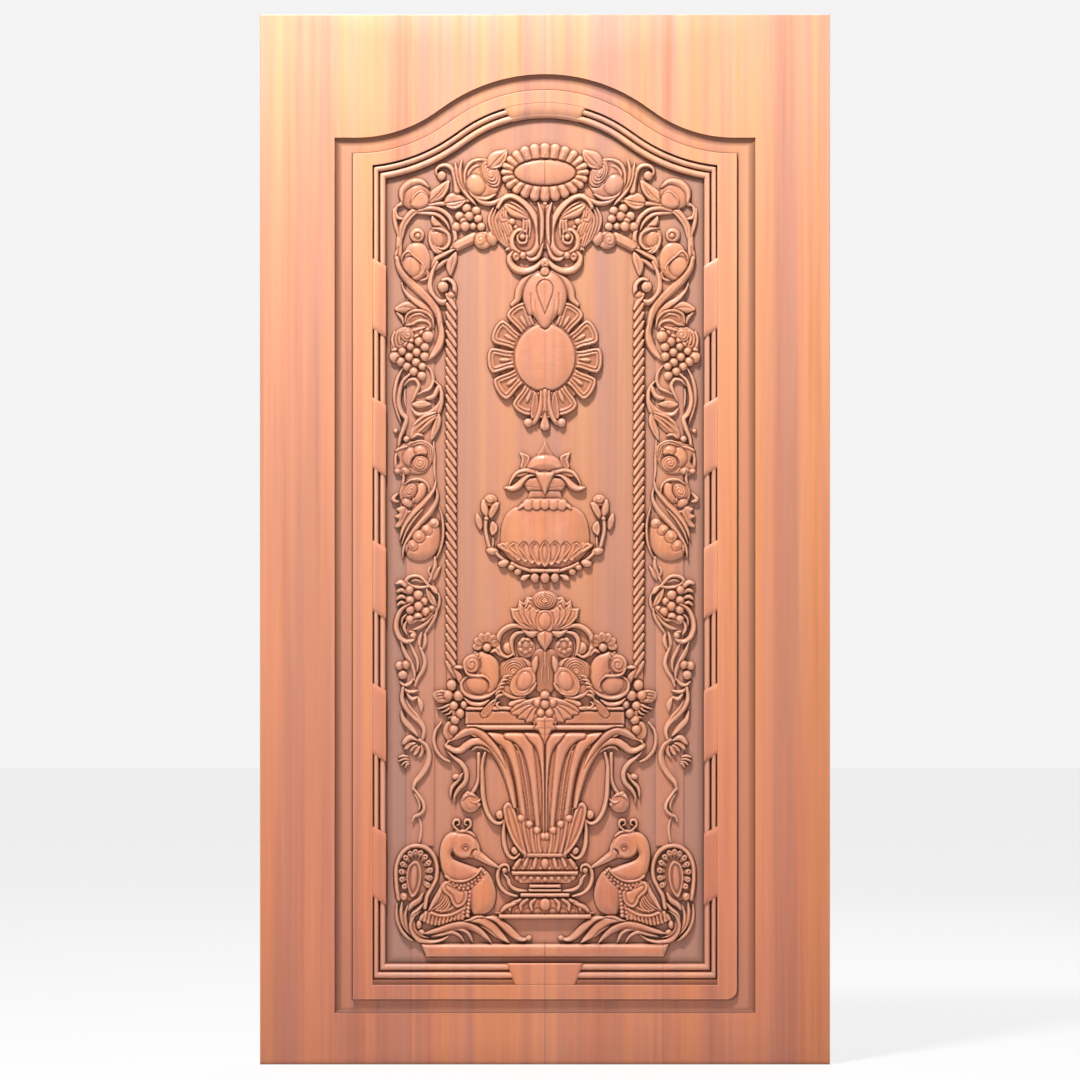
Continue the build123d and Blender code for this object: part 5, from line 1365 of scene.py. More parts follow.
def peacock_body(r):
    """The peacock: layered wing, smooth breast, beaded collar, bent neck, long beak and crest."""
    # Outer wing blades
    r.pillow(((443, 882), (438, 892), (433, 902), (428, 911), (432, 916), (446, 918), (460, 914), (467, 903),
              (460, 888)), 8.5, 3.5, 5)
    r.band(((443.5, 883), (439, 894), (433, 904), (428, 912)), 5.4, 10.5, 4.5, "flat", "both", 1.8)
    for k in range(4):
        r.band(((446.5 + 1.2 * k, 890 + 3.6 * k), (445 + 1.2 * k, 898 + 2.8 * k),
                (439.5 + 1.8 * k, 905.5 + 1.6 * k), (430.5 + 2.8 * k, 910.5 + 0.9 * k)), 4.2, 11.6 + 0.3 * k,
               5.0, "left", "both", 3.2, 1.2)
    # Row of feather ends under the wing
    r.band(((428, 913), (423, 917), (419, 921.5)), 6.5, 10.5, 4, "left", "both")
    for k in range(11):
        x = 424.5 + 3.75 * k
        low = 926.6 - 0.02 * (x - 438) ** 2 - (0.9 if k > 8 else 0)
        r.band(((x + 1.4, 915.5 - 0.012 * (x - 440) ** 2), (x + 0.4, 920), (x - 0.4, low - 2.2)), 3.9, 11.5,
               4.5, "round", "even", 2.6, 0.9)
    r.band(((431, 913), (440, 915.8), (450, 915.2), (458, 911.8), (464.5, 907.5)), 3.4, 13, 6, "round",
           "even", 2.0)
    r.band(((434, 910), (443, 911.3), (451, 909), (457, 905)), 2.6, 11.8, 6, "round", "both", 1.6)
    # Breast
    r.pillow(((473, 874), (481, 869), (487, 871.5), (492, 878.5), (495.5, 888), (496, 898), (493.5, 907),
              (488, 913), (480, 916), (473, 914.5), (469.5, 905), (468.5, 892)), 15, 4, 15)
    for k in range(7):
        r.dome(469.6 - 0.35 * k, 892.5 + 3.9 * k, 2.6, 2.3, 12.8, 6, 20, 0.5, 2.0, 0.8)
        if k > 2:
            r.dome(465.5 - 0.4 * k, 893.5 + 3.9 * k, 2.3, 2.1, 11.8, 6, 20, 0.5, 2.0, 0.8)
    # Shoulder
    r.pillow(((446, 880.5), (441.3, 886), (443, 892.5), (449, 898), (451.5, 904), (456, 908.5),
              (461.5, 907.5), (466.5, 903), (468.3, 896), (467.5, 890.5), (460, 887), (452, 883)), 13, 4.5, 6,
             3.2, 1.5, rims=((1.6, 1.1, 2.4), (4.2, 1.0, -2.4)))
    # Collar
    r.pillow(((446, 878), (453, 886), (461, 891.5), (469, 890.5), (477, 884), (484, 876), (485, 870),
              (478, 870), (465, 880)), 9.5, 4.5, 3)
    r.beads(((449.5, 881.5), (456, 884.8), (464, 885.6), (472, 882), (478.5, 876.5), (482.5, 871)), 11, 2.1,
            12.8, 7)
    r.beads(((454.5, 886.5), (460.5, 889), (467, 889), (473.5, 885.5), (479.5, 880), (485, 873.5)), 9, 2.0,
            12.6, 6)
    # Neck and head
    outline_points = ((445.5, 877), (440.8, 868), (439.4, 856), (441, 844), (446, 835.5), (454, 831.6),
                      (463, 832), (471, 835.2), (477, 841), (480.3, 849), (478.5, 857), (470, 858),
                      (461, 853.6), (454, 851.4), (451.4, 854.6), (453.5, 859), (460, 862), (468, 865),
                      (477, 868.5), (482.5, 869.8), (479, 875.5), (471, 880.3), (461, 882.4), (452, 881))
    r.pillow(outline_points, 14.6, 4.5, 8.5)
    r.dome(464, 845.5, 11.5, 11, 15.7, 14.2, 0, 0.6, 0.0, 0.5)
    r.band(((446, 876.2), (451.5, 880), (460, 881.6), (468.5, 879.8), (476, 875), (481, 869.2)), 2.7, 14.2, 8,
           "round", "even", 1.6, 0.9)
    r.band(((475.5, 853.5), (483, 858.6), (491, 863.5), (499, 868)), 9.6, 13.6, 5, "round", "tip")
    r.cut_line(((478, 856.5), (487, 862), (496, 867)), 1.1, 1.5)
    r.band(((477.5, 848.5), (479, 853), (475, 858.5)), 2.4, 14.4, 9, "round", "both", 1.2, 0.8)
    r.dome(465.8, 848.4, 5.0, 4.3, 14.6, 13, 8, 0.5, 3.0, 1.3)
    r.dome(465.8, 848.6, 3.2, 2.7, 11.6, 11.5, 8, 0.5, 1.6, 0.8)
    r.dome(465.9, 848.9, 1.9, 1.9, 15.8, 11.5, 0, 0.5, 0.8, 0.5)
    # Crest
    r.band(((454.5, 830.5), (458.5, 832), (464, 831.5), (470, 833), (476, 837.5)), 4.0, 11, 4, "round",
           "both")
    for way in (-1, 1):
        crest_x = 462
        points = [(crest_x + way * u, y) for u, y in ((1.5, 832), (5, 829.5), (8.6, 825.5), (7.5, 820.8),
                                                      (3.6, 820.4), (2.6, 824), (5.2, 825.6))]
        r.band(points, 3.0, 12.2, 4.5, "round", "swell", 2.4, 1.0)


def peacock_foliage(r):
    """Broad acanthus ribbons that the peacock stands on, over the plinth bar."""
    r.band(((421, 911), (413.5, 917), (410.5, 926), (413.5, 935), (421, 941), (431, 942.6), (441, 940.5),
            (450, 935.5)), 6, 10.5, 3.5, "left", "both")
    r.band(((414, 921), (415, 930), (421, 936), (429, 938)), 3, 9, 4, "round", "both")
    r.dome(418.8, 925, 2.9, 4.6, 11, 4, 8)
    r.dome(421.5, 932.5, 3.6, 2.6, 10, 4, 35)
    r.band(((430, 937), (441, 935), (452, 932.5), (460, 936.5), (464.5, 943.5)), 4.4, 10.8, 3.5, "right",
           "both")
    r.band(((449, 931), (460, 929.5), (468, 933.5), (473, 943.5)), 4.6, 11, 3.5, "right", "both")
    r.band(((484, 917.5), (495, 919.5), (505, 927), (514, 935.5), (522, 940), (530, 938.5)), 8.6, 11, 3.5,
           "left", "both")
    r.band(((468, 921.5), (480, 921), (490, 926.5), (499, 935), (509, 943)), 10.5, 12, 3.5, "left", "both")
    r.band(((480, 926), (489, 931), (497, 938)), 3.4, 9.5, 5, "round", "both", 2.2)
    r.band(((424.5, 934), (437, 930.8), (451, 926.5), (464, 925), (476, 929), (485, 936), (491.5, 943.5)),
           9.5, 12.4, 3.5, "right", "both")
    r.cut_line(((438, 932.5), (452, 928.8), (464, 927.5), (475, 932), (484, 939.5)), 1.5, 2.0)
    r.band(((463.5, 921.3), (470, 920), (477, 917.2), (485, 917)), 3.8, 12.4, 4, "round", "both")
    r.dome(529, 938.4, 3.2, 2.8, 10.5)


def plinth(r):
    """The moulded bar under the basket and the peacocks."""
    r.pillow(((420.5, 944), (545, 944), (669.5, 944), (664, 957.2), (545, 957.2), (426, 957.2)), 13.8, 4, 5.0,
             sharp=True)


# Each motif's name and how it is carved, the lowest first: where two meet, the later one lies on top

MOTIFS = (
    ("crown_flowers", crown_flowers),
    ("boss", boss),
    ("medallion", medallion),
    ("scroll_over_medallion", medallion_top),
    ("scroll_under_medallion", medallion_foot),
    ("upper_vine_buds", vine_buds),
    ("upper_vine_marigold", marigold),
    ("upper_vine_grapes", vine_grapes),
    ("upper_vine_roses", vine_roses),
    ("upper_vine_dome", vine_dome),
    ("rope", rope),
    ("kalash", kalash),
    ("kalash_stem", kalash_side),
    ("lower_vine_grapes", lower_vine_top),
    ("lower_vine_curl", lower_vine_curl),
    ("lower_vine_ribbons", lower_vine_ribbons),
    ("basket_handle", handles),
    ("basket", basket_body),
    ("basket_rim", basket_rim),
    ("basket_scrolls", basket_scrolls),
    ("basket_flowers", basket_flowers),
    ("lotus", lotus),
    ("peacock_tail", peacock_tail),
    ("peacock", peacock_body),
    ("peacock_foliage", peacock_foliage),
    ("plinth", plinth),
)


# From heights to closed pieces

# How much of the blur is kept, and the unevenness left by hand: height, spacing in pixels and seed
SOFTENED_SHARE = 0.5
HAND_CUT = ((0.22, 7, 5), (0.14, 2.2, 6))
BOSS_ROW = 172
BOSS_REACH = 15
PLINTH_ROW = 943
SEAM_GROOVE = 0.7

# How far round itself a place is compared, and the difference in height that counts as fully hollow
MEAN_REACH = 2.2
HOLLOW_HEIGHT = 4
FEWEST_CELLS = 12

# The open sides of a cell: which neighbour it has there, and the two corners, each as row and column
CELL_SIDES = (
    (-1, 0, (0, 0), (0, 1)),
    (1, 0, (1, 1), (1, 0)),
    (0, -1, (1, 0), (0, 0)),
    (0, 1, (0, 1), (1, 1)),
)


def soften(grid):
    """A light blur."""
    padded = np.pad(grid, 1, mode="edge")
    grid = (padded[1:-1, :-2] + 2 * padded[1:-1, 1:-1] + padded[1:-1, 2:]) / 4
    padded = np.pad(grid, 1, mode="edge")
    return (padded[:-2, 1:-1] + 2 * padded[1:-1, 1:-1] + padded[2:, 1:-1]) / 4


def wide_mean(grid, radius):
    """The mean over a square of cells, radius cells to each side."""
    for axis in (0, 1):
        pad = [(0, 0), (0, 0)]
        pad[axis] = (radius + 1, radius)
        total = np.cumsum(np.pad(grid, pad, mode="edge"), axis=axis)
        width = 2 * radius + 1
        if axis == 0:
            grid = (total[width:] - total[:-width]) / width
        else:
            grid = (total[:, width:] - total[:, :-width]) / width
    return grid


def smooth_noise(shape, spacing, seed):
    """Soft random values from -1 to 1 with bumps about so many cells apart."""
    rng = np.random.default_rng(seed)
    rows, columns = int(shape[0] / spacing) + 3, int(shape[1] / spacing) + 3
    coarse = rng.uniform(-1, 1, (rows, columns))
    v = np.arange(shape[0]) / spacing
    u = np.arange(shape[1]) / spacing
    j, i = v.astype(int), u.astype(int)
    fv = (v - j)[:, None]
    fu = (u - i)[None, :]
    fv, fu = fv * fv * (3 - 2 * fv), fu * fu * (3 - 2 * fu)
    a = coarse[j][:, i] * (1 - fu) + coarse[j][:, i + 1] * fu
    b = coarse[j + 1][:, i] * (1 - fu) + coarse[j + 1][:, i + 1] * fu
    return a * (1 - fv) + b * fv


def carve_all():
    """Paints every motif, mirrors the left half, and gives the whole field its last hand-cut unevenness."""
    r = Relief()
    for index, (_, paint) in enumerate(MOTIFS, 1):
        r.motif = index
        paint(r)
    height = SOFTENED_SHARE * soften(r.height) + (1 - SOFTENED_SHARE) * r.height
    height = np.hstack([height, height[:, -2::-1]])
    owner = np.hstack([r.owner, r.owner[:, -2::-1]])
    x = np.concatenate([r.x, 2 * MIDDLE_PX - r.x[-2::-1]])
    carved = np.clip(height / 3, 0, 1)
    step = 1 / CELL
    uneven = sum(rise * smooth_noise(height.shape, spacing * step, seed) for rise, spacing, seed in HAND_CUT)
    height = height + carved * uneven
    height = np.where(height > 0, np.minimum(height, GROUND_DEPTH - 0.1), height)
    for seam in SEAMS:
        column = int(np.argmin(np.abs(x - (MIDDLE_PX + seam / PIXEL))))
        x[column] = MIDDLE_PX + seam / PIXEL
        if abs(seam) < 1:
            seen = (np.abs(r.y - BOSS_ROW) < BOSS_REACH) | (r.y > PLINTH_ROW)
            height[:, column] -= SEAM_GROOVE * (height[:, column] > 1) * seen
    return x, r.y, height, owner


def bottom_faces(cells, vertex_at):
    """Closes a piece's underside with one strip of triangles for each run of cells in a row."""
    rows, columns = cells.shape
    padded = np.pad(cells, 1)
    ends = np.zeros((rows + 2, columns + 1), bool)
    ends[:, :] = padded[:, 1:] != padded[:, :-1]
    needed = np.zeros((rows + 1, columns + 1), bool)
    needed |= ends[1:, :] | ends[:-1, :]
    rim = padded[1:, :] != padded[:-1, :]
    needed |= rim[:, 1:] | rim[:, :-1]
    faces = []
    for j in range(rows):
        starts = np.flatnonzero(cells[j] & ~padded[j + 1, :-2])
        stops = np.flatnonzero(cells[j] & ~padded[j + 1, 2:]) + 1
        for i0, i1 in zip(starts, stops):
            upper = [i for i in range(i0, i1 + 1) if needed[j, i] or i in (i0, i1)]
            lower = [i for i in range(i0, i1 + 1) if needed[j + 1, i] or i in (i0, i1)]
            a, b = 0, 0
            while a < len(upper) - 1 or b < len(lower) - 1:
                if b == len(lower) - 1 or (a < len(upper) - 1 and upper[a + 1] <= lower[b + 1]):
                    faces.append((vertex_at(j, upper[a]), vertex_at(j, upper[a + 1]),
                                  vertex_at(j + 1, lower[b])))
                    a += 1
                else:
                    faces.append((vertex_at(j, upper[a]), vertex_at(j + 1, lower[b + 1]),
                                  vertex_at(j + 1, lower[b])))
                    b += 1
    return faces


def relief_mesh(name, cells, x, y, height, cavity):
    """A closed mesh over the given cells: carved top, hidden walls, and a flat underside in the wood."""
    rows, columns = height.shape
    node = np.arange(rows * columns).reshape(rows, columns)
    j, i = np.nonzero(cells)
    a, b, c, d = node[j, i], node[j, i + 1], node[j + 1, i + 1], node[j + 1, i]
    h = height.ravel()
    first = np.abs(h[a] - h[c]) <= np.abs(h[b] - h[d])
    tops = np.vstack([
        np.column_stack([a, c, b])[first],
        np.column_stack([a, d, c])[first],
        np.column_stack([a, d, b])[~first],
        np.column_stack([b, d, c])[~first],
    ])
    used = np.unique(tops)
    index = np.full(rows * columns, -1)
    index[used] = np.arange(len(used))
    padded = np.pad(cells, 1)
    walls = []
    for dj, di, p, q in CELL_SIDES:
        open_side = cells & ~padded[1 + dj : 1 + dj + cells.shape[0], 1 + di : 1 + di + cells.shape[1]]
        wj, wi = np.nonzero(open_side)
        walls.append(np.column_stack([node[wj + p[0], wi + p[1]], node[wj + q[0], wi + q[1]]]))
    walls = np.vstack(walls)
    lower_nodes = {}

    def below(row, column):
        key = row * columns + column
        if key not in lower_nodes:
            lower_nodes[key] = len(used) + len(lower_nodes)
        return lower_nodes[key]

    wall_faces = []
    for start, end in walls:
        low_start = below(start // columns, start % columns)
        low_end = below(end // columns, end % columns)
        wall_faces.append((index[start], index[end], low_end))
        wall_faces.append((index[start], low_end, low_start))
    under = bottom_faces(cells, below)
    faces = np.vstack([index[tops], np.array(wall_faces), np.array(under)])
    low_keys = np.array(list(lower_nodes))
    keys = np.concatenate([used, low_keys])
    level = np.concatenate([h[used], np.full(len(low_keys), BOTTOM)])
    points = np.column_stack([
        across(x[keys % columns]) * MM,
        (GROUND_Y - level) * MM,
        up(y[keys // columns]) * MM,
    ])
    mesh = bpy.data.meshes.new(name)
    mesh.from_pydata(points, [], faces)
    mesh.polygons.foreach_set("use_smooth", np.arange(len(faces)) < len(tops))
    for label, values in (("height", level / GROUND_DEPTH), ("cavity", cavity.ravel()[keys])):
        layer = mesh.attributes.new(label, "FLOAT", "POINT")
        layer.data.foreach_set("value", values.astype(np.float32))
    mesh.validate()
    mesh.update()
    return mesh


def cell_corners(grid):
    """The values at the four corners of every cell."""
    return np.stack([grid[:-1, :-1], grid[1:, :-1], grid[:-1, 1:], grid[1:, 1:]])


def relief_pieces(material):
    """The carving as closed pieces, one for each motif on each board."""
    x, y, height, owner = carve_all()
    corners = cell_corners(height)
    cell_owner = np.take_along_axis(cell_corners(owner), corners.argmax(axis=0)[None], axis=0)[0]
    cell_owner = np.where(corners.max(axis=0) > 0, cell_owner, 0)
    shown = np.maximum(height, 0)
    radius = int(round(MEAN_REACH / CELL))
    wide = wide_mean(wide_mean(shown, radius), radius)
    # Cavity is positive in hollows, where the material paints shade, and negative on crests, where it paints
    # a highlight
    cavity = np.clip((wide - shown) / HOLLOW_HEIGHT, -1, 1)
    middle = across((x[:-1] + x[1:]) / 2)
    for index, (motif, _) in enumerate(MOTIFS, 1):
        for board, left, right in zip(BOARDS, EDGES, EDGES[1:]):
            inside = (middle > left) & (middle < right)
            cells = (cell_owner == index) & inside[None, :]
            if cells.sum() < FEWEST_CELLS:
                continue
            name = board + "_" + motif
            mesh = relief_mesh(name, cells, x, y, height, cavity)
            finish_piece(mesh, name, board, material)


# Materials

# Colour ramps: by height on the leaf, as a painted fall-off of light that is paler high and darker at the
# foot, along the grain, and the tints of its patches
LIGHT_FALLOFF_STOPS = (
    (0.0, (0.62, 0.225, 0.125)),
    (0.15, (0.76, 0.265, 0.145)),
    (0.5, (0.84, 0.335, 0.185)),
    (0.85, (0.85, 0.385, 0.235)),
    (1.0, (0.84, 0.40, 0.26)),
)
GRAIN_STOPS = (
    (0.34, (0.84, 0.76, 0.70)),
    (0.46, (0.96, 0.94, 0.92)),
    (0.56, (1.0, 1.02, 1.03)),
    (0.68, (1.04, 1.14, 1.18)),
)
TINT_STOPS = ((0.38, (0.84, 0.87, 0.99)), (0.5, (0.99, 0.98, 0.98)), (0.62, (1.07, 1.07, 0.90)))
BOARD_TONES = ((0.99, 0.97, 0.96), (1.0, 1.0, 1.0), (0.98, 0.99, 1.0), (1.0, 0.98, 0.96))
SUNK_SHADE_COLOUR = (0.36, 0.225, 0.185)
CREVICE_SHADE_AND_SEAM_COLOUR = (0.10, 0.032, 0.016)
CREST_HIGHLIGHT_COLOUR = (0.95, 0.60, 0.43)
CARVED_TONE = (0.97, 0.92, 0.90)
LOW_SHADE_COLOUR = (0.44, 0.165, 0.085)

# Grain: how far it is drawn out, its noise scale and detail, then its offset and distortion
BROAD_GRAIN = (0.035, 14, 3, 3.1, 0.5)
STREAK_GRAIN = (0.02, 80, 4, 1.7, 0.2)
TINT_GRAIN = (0.02, 22, 2, 6.3, 0.2)
FINE_GRAIN = (0.03, 420, 3)
SAWN_GRAIN = (0.03, 120, 4)
GRAIN_ROUGHNESS = 0.6
STREAK_SHARE = 0.45

# The sunk ground, darkened with painted shade: where it ends, its width to each side, and how much painted
# shade dulls it in the middle and further out
SUNK_LIMIT = 1.1
FIELD_SIDE = 318
FIELD_EASE = 0.1
SUNK_SHADE_SHARE = 0.28
SUNK_SHADE_SIDE = 0.45
SUNK_SHADE_PATCHES = (0.8, 0.6)

# Painted shade on the carving's lower parts, as shares of the carving's depth
CARVED_LEVEL = 0.02
LOW_TOP = 0.92
LOW_SHADE_GAIN = 1.4
LOW_SHADE_SHARE = 0.8

# Painted shade in crevices and corners, and painted highlights on crests
HOLLOW_SHADE_GAIN = 1.7
HOLLOW_SHADE_SHARE = 0.9
CREST_HIGHLIGHT_GAIN = 1.6
CREST_HIGHLIGHT_SHARE = 0.5
CORNER_SAMPLES = 4
CORNER_REACH = 11
CORNER_SHADE_GAIN = 1.9
CORNER_SHADE_START = -0.30
CORNER_SHADE_SHARE = 0.85

# Seams show on the plain border, on the boss and at the foot: places and widths in millimetres, and the plain
# border's depth as a share of the carving's
SEAM_DEPTH = 0.05
SEAM_FOOT = 246
SEAM_BOSS = 1785
SEAM_BOSS_REACH = 30
SEAM_LINE = 0.8
SEAM_PATCHES = (1.6, -0.25)
SEAM_SHARE = 0.8

# Gloss and the finest relief of the grain
ROUGHNESS = (0.14, 0.27)
HOLLOW_ROUGHNESS = 0.3
GLOSS = 0.36
BUMP_STRENGTH = 0.3
BUMP_DISTANCE = 0.0005
BUMP_FINE = 0.6
SAWN_STOPS = ((0.3, (0.42, 0.25, 0.14)), (0.7, (0.56, 0.37, 0.22)))
SAWN_ROUGHNESS = 0.75


def nodes_of(name):
    """A new material with an empty node tree but for its shader and output."""
    material = bpy.data.materials.new(name)
    material.use_nodes = True
    return material, material.node_tree.nodes, material.node_tree.links


def ramp(nodes, stops):
    """A colour ramp with the given positions and colours."""
    node = nodes.new("ShaderNodeValToRGB")
    while len(node.color_ramp.elements) < len(stops):
        node.color_ramp.elements.new(0.5)
    for element, (place, colour) in zip(node.color_ramp.elements, stops):
        element.position = place
        element.color = (*colour, 1)
    return node


def mix(nodes, links, kind, factor, first, second):
    """A colour mix node; factor, first and second are sockets or values."""
    node = nodes.new("ShaderNodeMix")
    node.data_type = "RGBA"
    node.blend_type = kind
    for socket, value in ((node.inputs[0], factor), (node.inputs[6], first), (node.inputs[7], second)):
        if isinstance(value, bpy.types.NodeSocket):
            links.new(value, socket)
        elif isinstance(value, tuple):
            socket.default_value = (*value, 1)
        else:
            socket.default_value = value
    return node.outputs[2]


def arithmetic(nodes, links, kind, first, second=0.0, third=0.0, clamp=False):
    """A math node; its inputs are sockets or numbers."""
    node = nodes.new("ShaderNodeMath")
    node.operation = kind
    node.use_clamp = clamp
    for socket, value in zip(node.inputs, (first, second, third)):
        if isinstance(value, bpy.types.NodeSocket):
            links.new(value, socket)
        else:
            socket.default_value = value
    return node.outputs[0]


def grain(nodes, links, stretch, scale, detail, offset=0.0, distortion=0.0):
    """Noise drawn out along the boards' length, as wood grain is."""
    place = nodes.new("ShaderNodeTexCoord")
    mapping = nodes.new("ShaderNodeMapping")
    mapping.inputs["Scale"].default_value = (1, 1, stretch)
    mapping.inputs["Location"].default_value = (offset, 0, offset)
    links.new(place.outputs["Object"], mapping.inputs["Vector"])
    noise = nodes.new("ShaderNodeTexNoise")
    noise.inputs["Scale"].default_value = scale
    noise.inputs["Detail"].default_value = detail
    noise.inputs["Roughness"].default_value = GRAIN_ROUGHNESS
    noise.inputs["Distortion"].default_value = distortion
    links.new(mapping.outputs["Vector"], noise.inputs["Vector"])
    return noise.outputs["Fac"]


def board_stops():
    """Where each board starts across the leaf, with its tone."""
    return [((edge + LEAF_WIDTH / 2) / LEAF_WIDTH, tone) for edge, tone in zip(EDGES, BOARD_TONES)]


def teak():
    """Oiled teak: streaked grain; painted light and shade make it paler high on the leaf, greyer where it is
    sunk, browner low in the carving, dark in the crevices and pale on the crests.
    """
    material, nodes, links = nodes_of("oiled_teak")
    shader = nodes["Principled BSDF"]
    place = nodes.new("ShaderNodeTexCoord")
    parts = nodes.new("ShaderNodeSeparateXYZ")
    links.new(place.outputs["Object"], parts.inputs[0])
    x, y, z = parts.outputs

    def math(kind, first, second=0.0, third=0.0, clamp=False):
        return arithmetic(nodes, links, kind, first, second, third, clamp)

    broad = grain(nodes, links, *BROAD_GRAIN)
    streak = grain(nodes, links, *STREAK_GRAIN)
    fine = grain(nodes, links, *FINE_GRAIN)
    # Painted fall-off of light from above: the colour is paler high on the leaf and darker towards the foot
    rise = math("DIVIDE", z, LEAF_HEIGHT * MM, clamp=True)
    base = ramp(nodes, LIGHT_FALLOFF_STOPS)
    links.new(rise, base.inputs["Fac"])
    colour = base.outputs["Color"]
    figure = ramp(nodes, GRAIN_STOPS)
    blend = math("MULTIPLY_ADD", streak, STREAK_SHARE, math("MULTIPLY", broad, 1 - STREAK_SHARE))
    links.new(blend, figure.inputs["Fac"])
    colour = mix(nodes, links, "MULTIPLY", 1.0, colour, figure.outputs["Color"])
    tints = ramp(nodes, TINT_STOPS)
    links.new(grain(nodes, links, *TINT_GRAIN), tints.inputs["Fac"])
    colour = mix(nodes, links, "MULTIPLY", 1.0, colour, tints.outputs["Color"])
    boards = ramp(nodes, board_stops())
    boards.color_ramp.interpolation = "CONSTANT"
    links.new(math("DIVIDE", math("ADD", x, LEAF_WIDTH * MM / 2), LEAF_WIDTH * MM), boards.inputs["Fac"])
    colour = mix(nodes, links, "MULTIPLY", 1.0, colour, boards.outputs["Color"])

    # Painted shade makes the sunk ground greyer and duller, most of all near the sides of the field
    depth = math("MULTIPLY", math("SUBTRACT", y, FRONT_Y * MM), 1 / (GROUND_DEPTH * MM))
    front = math("LESS_THAN", depth, SUNK_LIMIT)
    sunk = math("MULTIPLY", math("POWER", math("MULTIPLY", depth, 1.0, clamp=True), 2.0), front)
    aside = math("SMOOTH_MIN", math("DIVIDE", math("ABSOLUTE", x), FIELD_SIDE * MM), 1.0, FIELD_EASE)
    share = math("MULTIPLY_ADD", math("POWER", aside, 2.0), SUNK_SHADE_SIDE, SUNK_SHADE_SHARE)
    share = math("MULTIPLY", share, math("MULTIPLY_ADD", broad, *SUNK_SHADE_PATCHES))
    colour = mix(nodes, links, "MIX", math("MULTIPLY", sunk, share, clamp=True), colour, SUNK_SHADE_COLOUR)

    # Painted shade: the lower parts of the carving are browner
    level = nodes.new("ShaderNodeAttribute")
    level.attribute_name = "height"
    carved = math("GREATER_THAN", level.outputs["Fac"], CARVED_LEVEL)
    colour = mix(nodes, links, "MULTIPLY", carved, colour, CARVED_TONE)
    low = math("SUBTRACT", LOW_TOP, level.outputs["Fac"], clamp=True)
    low = math("MULTIPLY", low, LOW_SHADE_GAIN, clamp=True)
    low = math("MULTIPLY", low, carved)
    colour = mix(nodes, links, "MIX", math("MULTIPLY", low, LOW_SHADE_SHARE), colour, LOW_SHADE_COLOUR)

    # Painted shade darkens the crevices and the corners near raised forms, and painted highlights make the
    # crests pale
    cavity = nodes.new("ShaderNodeAttribute")
    cavity.attribute_name = "cavity"
    hollow = math("MULTIPLY", cavity.outputs["Fac"], HOLLOW_SHADE_GAIN, clamp=True)
    crest = math("MULTIPLY", cavity.outputs["Fac"], -CREST_HIGHLIGHT_GAIN, clamp=True)
    # An ambient occlusion node, used to paint shade into the colour near corners
    corner = nodes.new("ShaderNodeAmbientOcclusion")
    corner.samples = CORNER_SAMPLES
    corner.inputs["Distance"].default_value = CORNER_REACH * MM
    corner_shade = math("SUBTRACT", 1.0, corner.outputs["AO"], clamp=True)
    corner_shade = math("MULTIPLY_ADD", corner_shade, CORNER_SHADE_GAIN, CORNER_SHADE_START, clamp=True)
    crevice_shade = math("MAXIMUM", math("MULTIPLY", hollow, HOLLOW_SHADE_SHARE), math("MULTIPLY", corner_shade, CORNER_SHADE_SHARE))
    colour = mix(nodes, links, "MIX", crevice_shade, colour, CREVICE_SHADE_AND_SEAM_COLOUR)
    # Painted highlight: the crests are mixed towards a pale colour
    colour = mix(nodes, links, "MIX", math("MULTIPLY", crest, CREST_HIGHLIGHT_SHARE), colour, CREST_HIGHLIGHT_COLOUR)

    # A dark line in each seam, fainter here and there
    line = 0.0
    for seam in SEAMS:
        near = math("ABSOLUTE", math("SUBTRACT", x, seam * MM))
        near = math("SUBTRACT", 1.0, math("DIVIDE", near, SEAM_LINE * MM), clamp=True)
        line = math("MAXIMUM", line, near)
    plain = math("LESS_THAN", level.outputs["Fac"], CARVED_LEVEL)
    shown = math("MULTIPLY", plain, math("LESS_THAN", depth, SEAM_DEPTH))
    shown = math("MAXIMUM", shown, math("LESS_THAN", z, SEAM_FOOT * MM))
    from_boss = math("ABSOLUTE", math("SUBTRACT", z, SEAM_BOSS * MM))
    shown = math("MAXIMUM", shown, math("LESS_THAN", from_boss, SEAM_BOSS_REACH * MM))
    patches = math("MULTIPLY_ADD", broad, *SEAM_PATCHES, clamp=True)
    shade_line = math("MULTIPLY", math("MULTIPLY", line, shown), patches)
    colour = mix(nodes, links, "MIX", math("MULTIPLY", shade_line, SEAM_SHARE), colour, CREVICE_SHADE_AND_SEAM_COLOUR)
    links.new(colour, shader.inputs["Base Color"])

    rough = math("MULTIPLY_ADD", streak, *ROUGHNESS)
    links.new(math("MULTIPLY_ADD", hollow, HOLLOW_ROUGHNESS, rough), shader.inputs["Roughness"])
    shader.inputs["Specular IOR Level"].default_value = GLOSS
    bump = nodes.new("ShaderNodeBump")
    bump.inputs["Strength"].default_value = BUMP_STRENGTH
    bump.inputs["Distance"].default_value = BUMP_DISTANCE
    links.new(math("MULTIPLY_ADD", fine, BUMP_FINE, streak), bump.inputs["Height"])
    links.new(bump.outputs["Normal"], shader.inputs["Normal"])
    return material


def plain_wood():
    """Sawn, unfinished wood for the loose tongues inside the seams."""
    material, nodes, links = nodes_of("sawn_wood")
    shader = nodes["Principled BSDF"]
    colour = ramp(nodes, SAWN_STOPS)
    links.new(grain(nodes, links, *SAWN_GRAIN), colour.inputs["Fac"])
    links.new(colour.outputs["Color"], shader.inputs["Base Color"])
    shader.inputs["Roughness"].default_value = SAWN_ROUGHNESS
    return material


# Build the pieces

teak_material = teak()
shell = leaf_shell()
for board, left, right in zip(BOARDS, EDGES, EDGES[1:]):
    body = cut_board(shell, left, right)
    mesh = bpy.data.meshes.new(board + "_body")
    body.to_mesh(mesh)
    body.free()
    shade(mesh)
    finish_piece(mesh, board + "_body", board, teak_material)
shell.free()

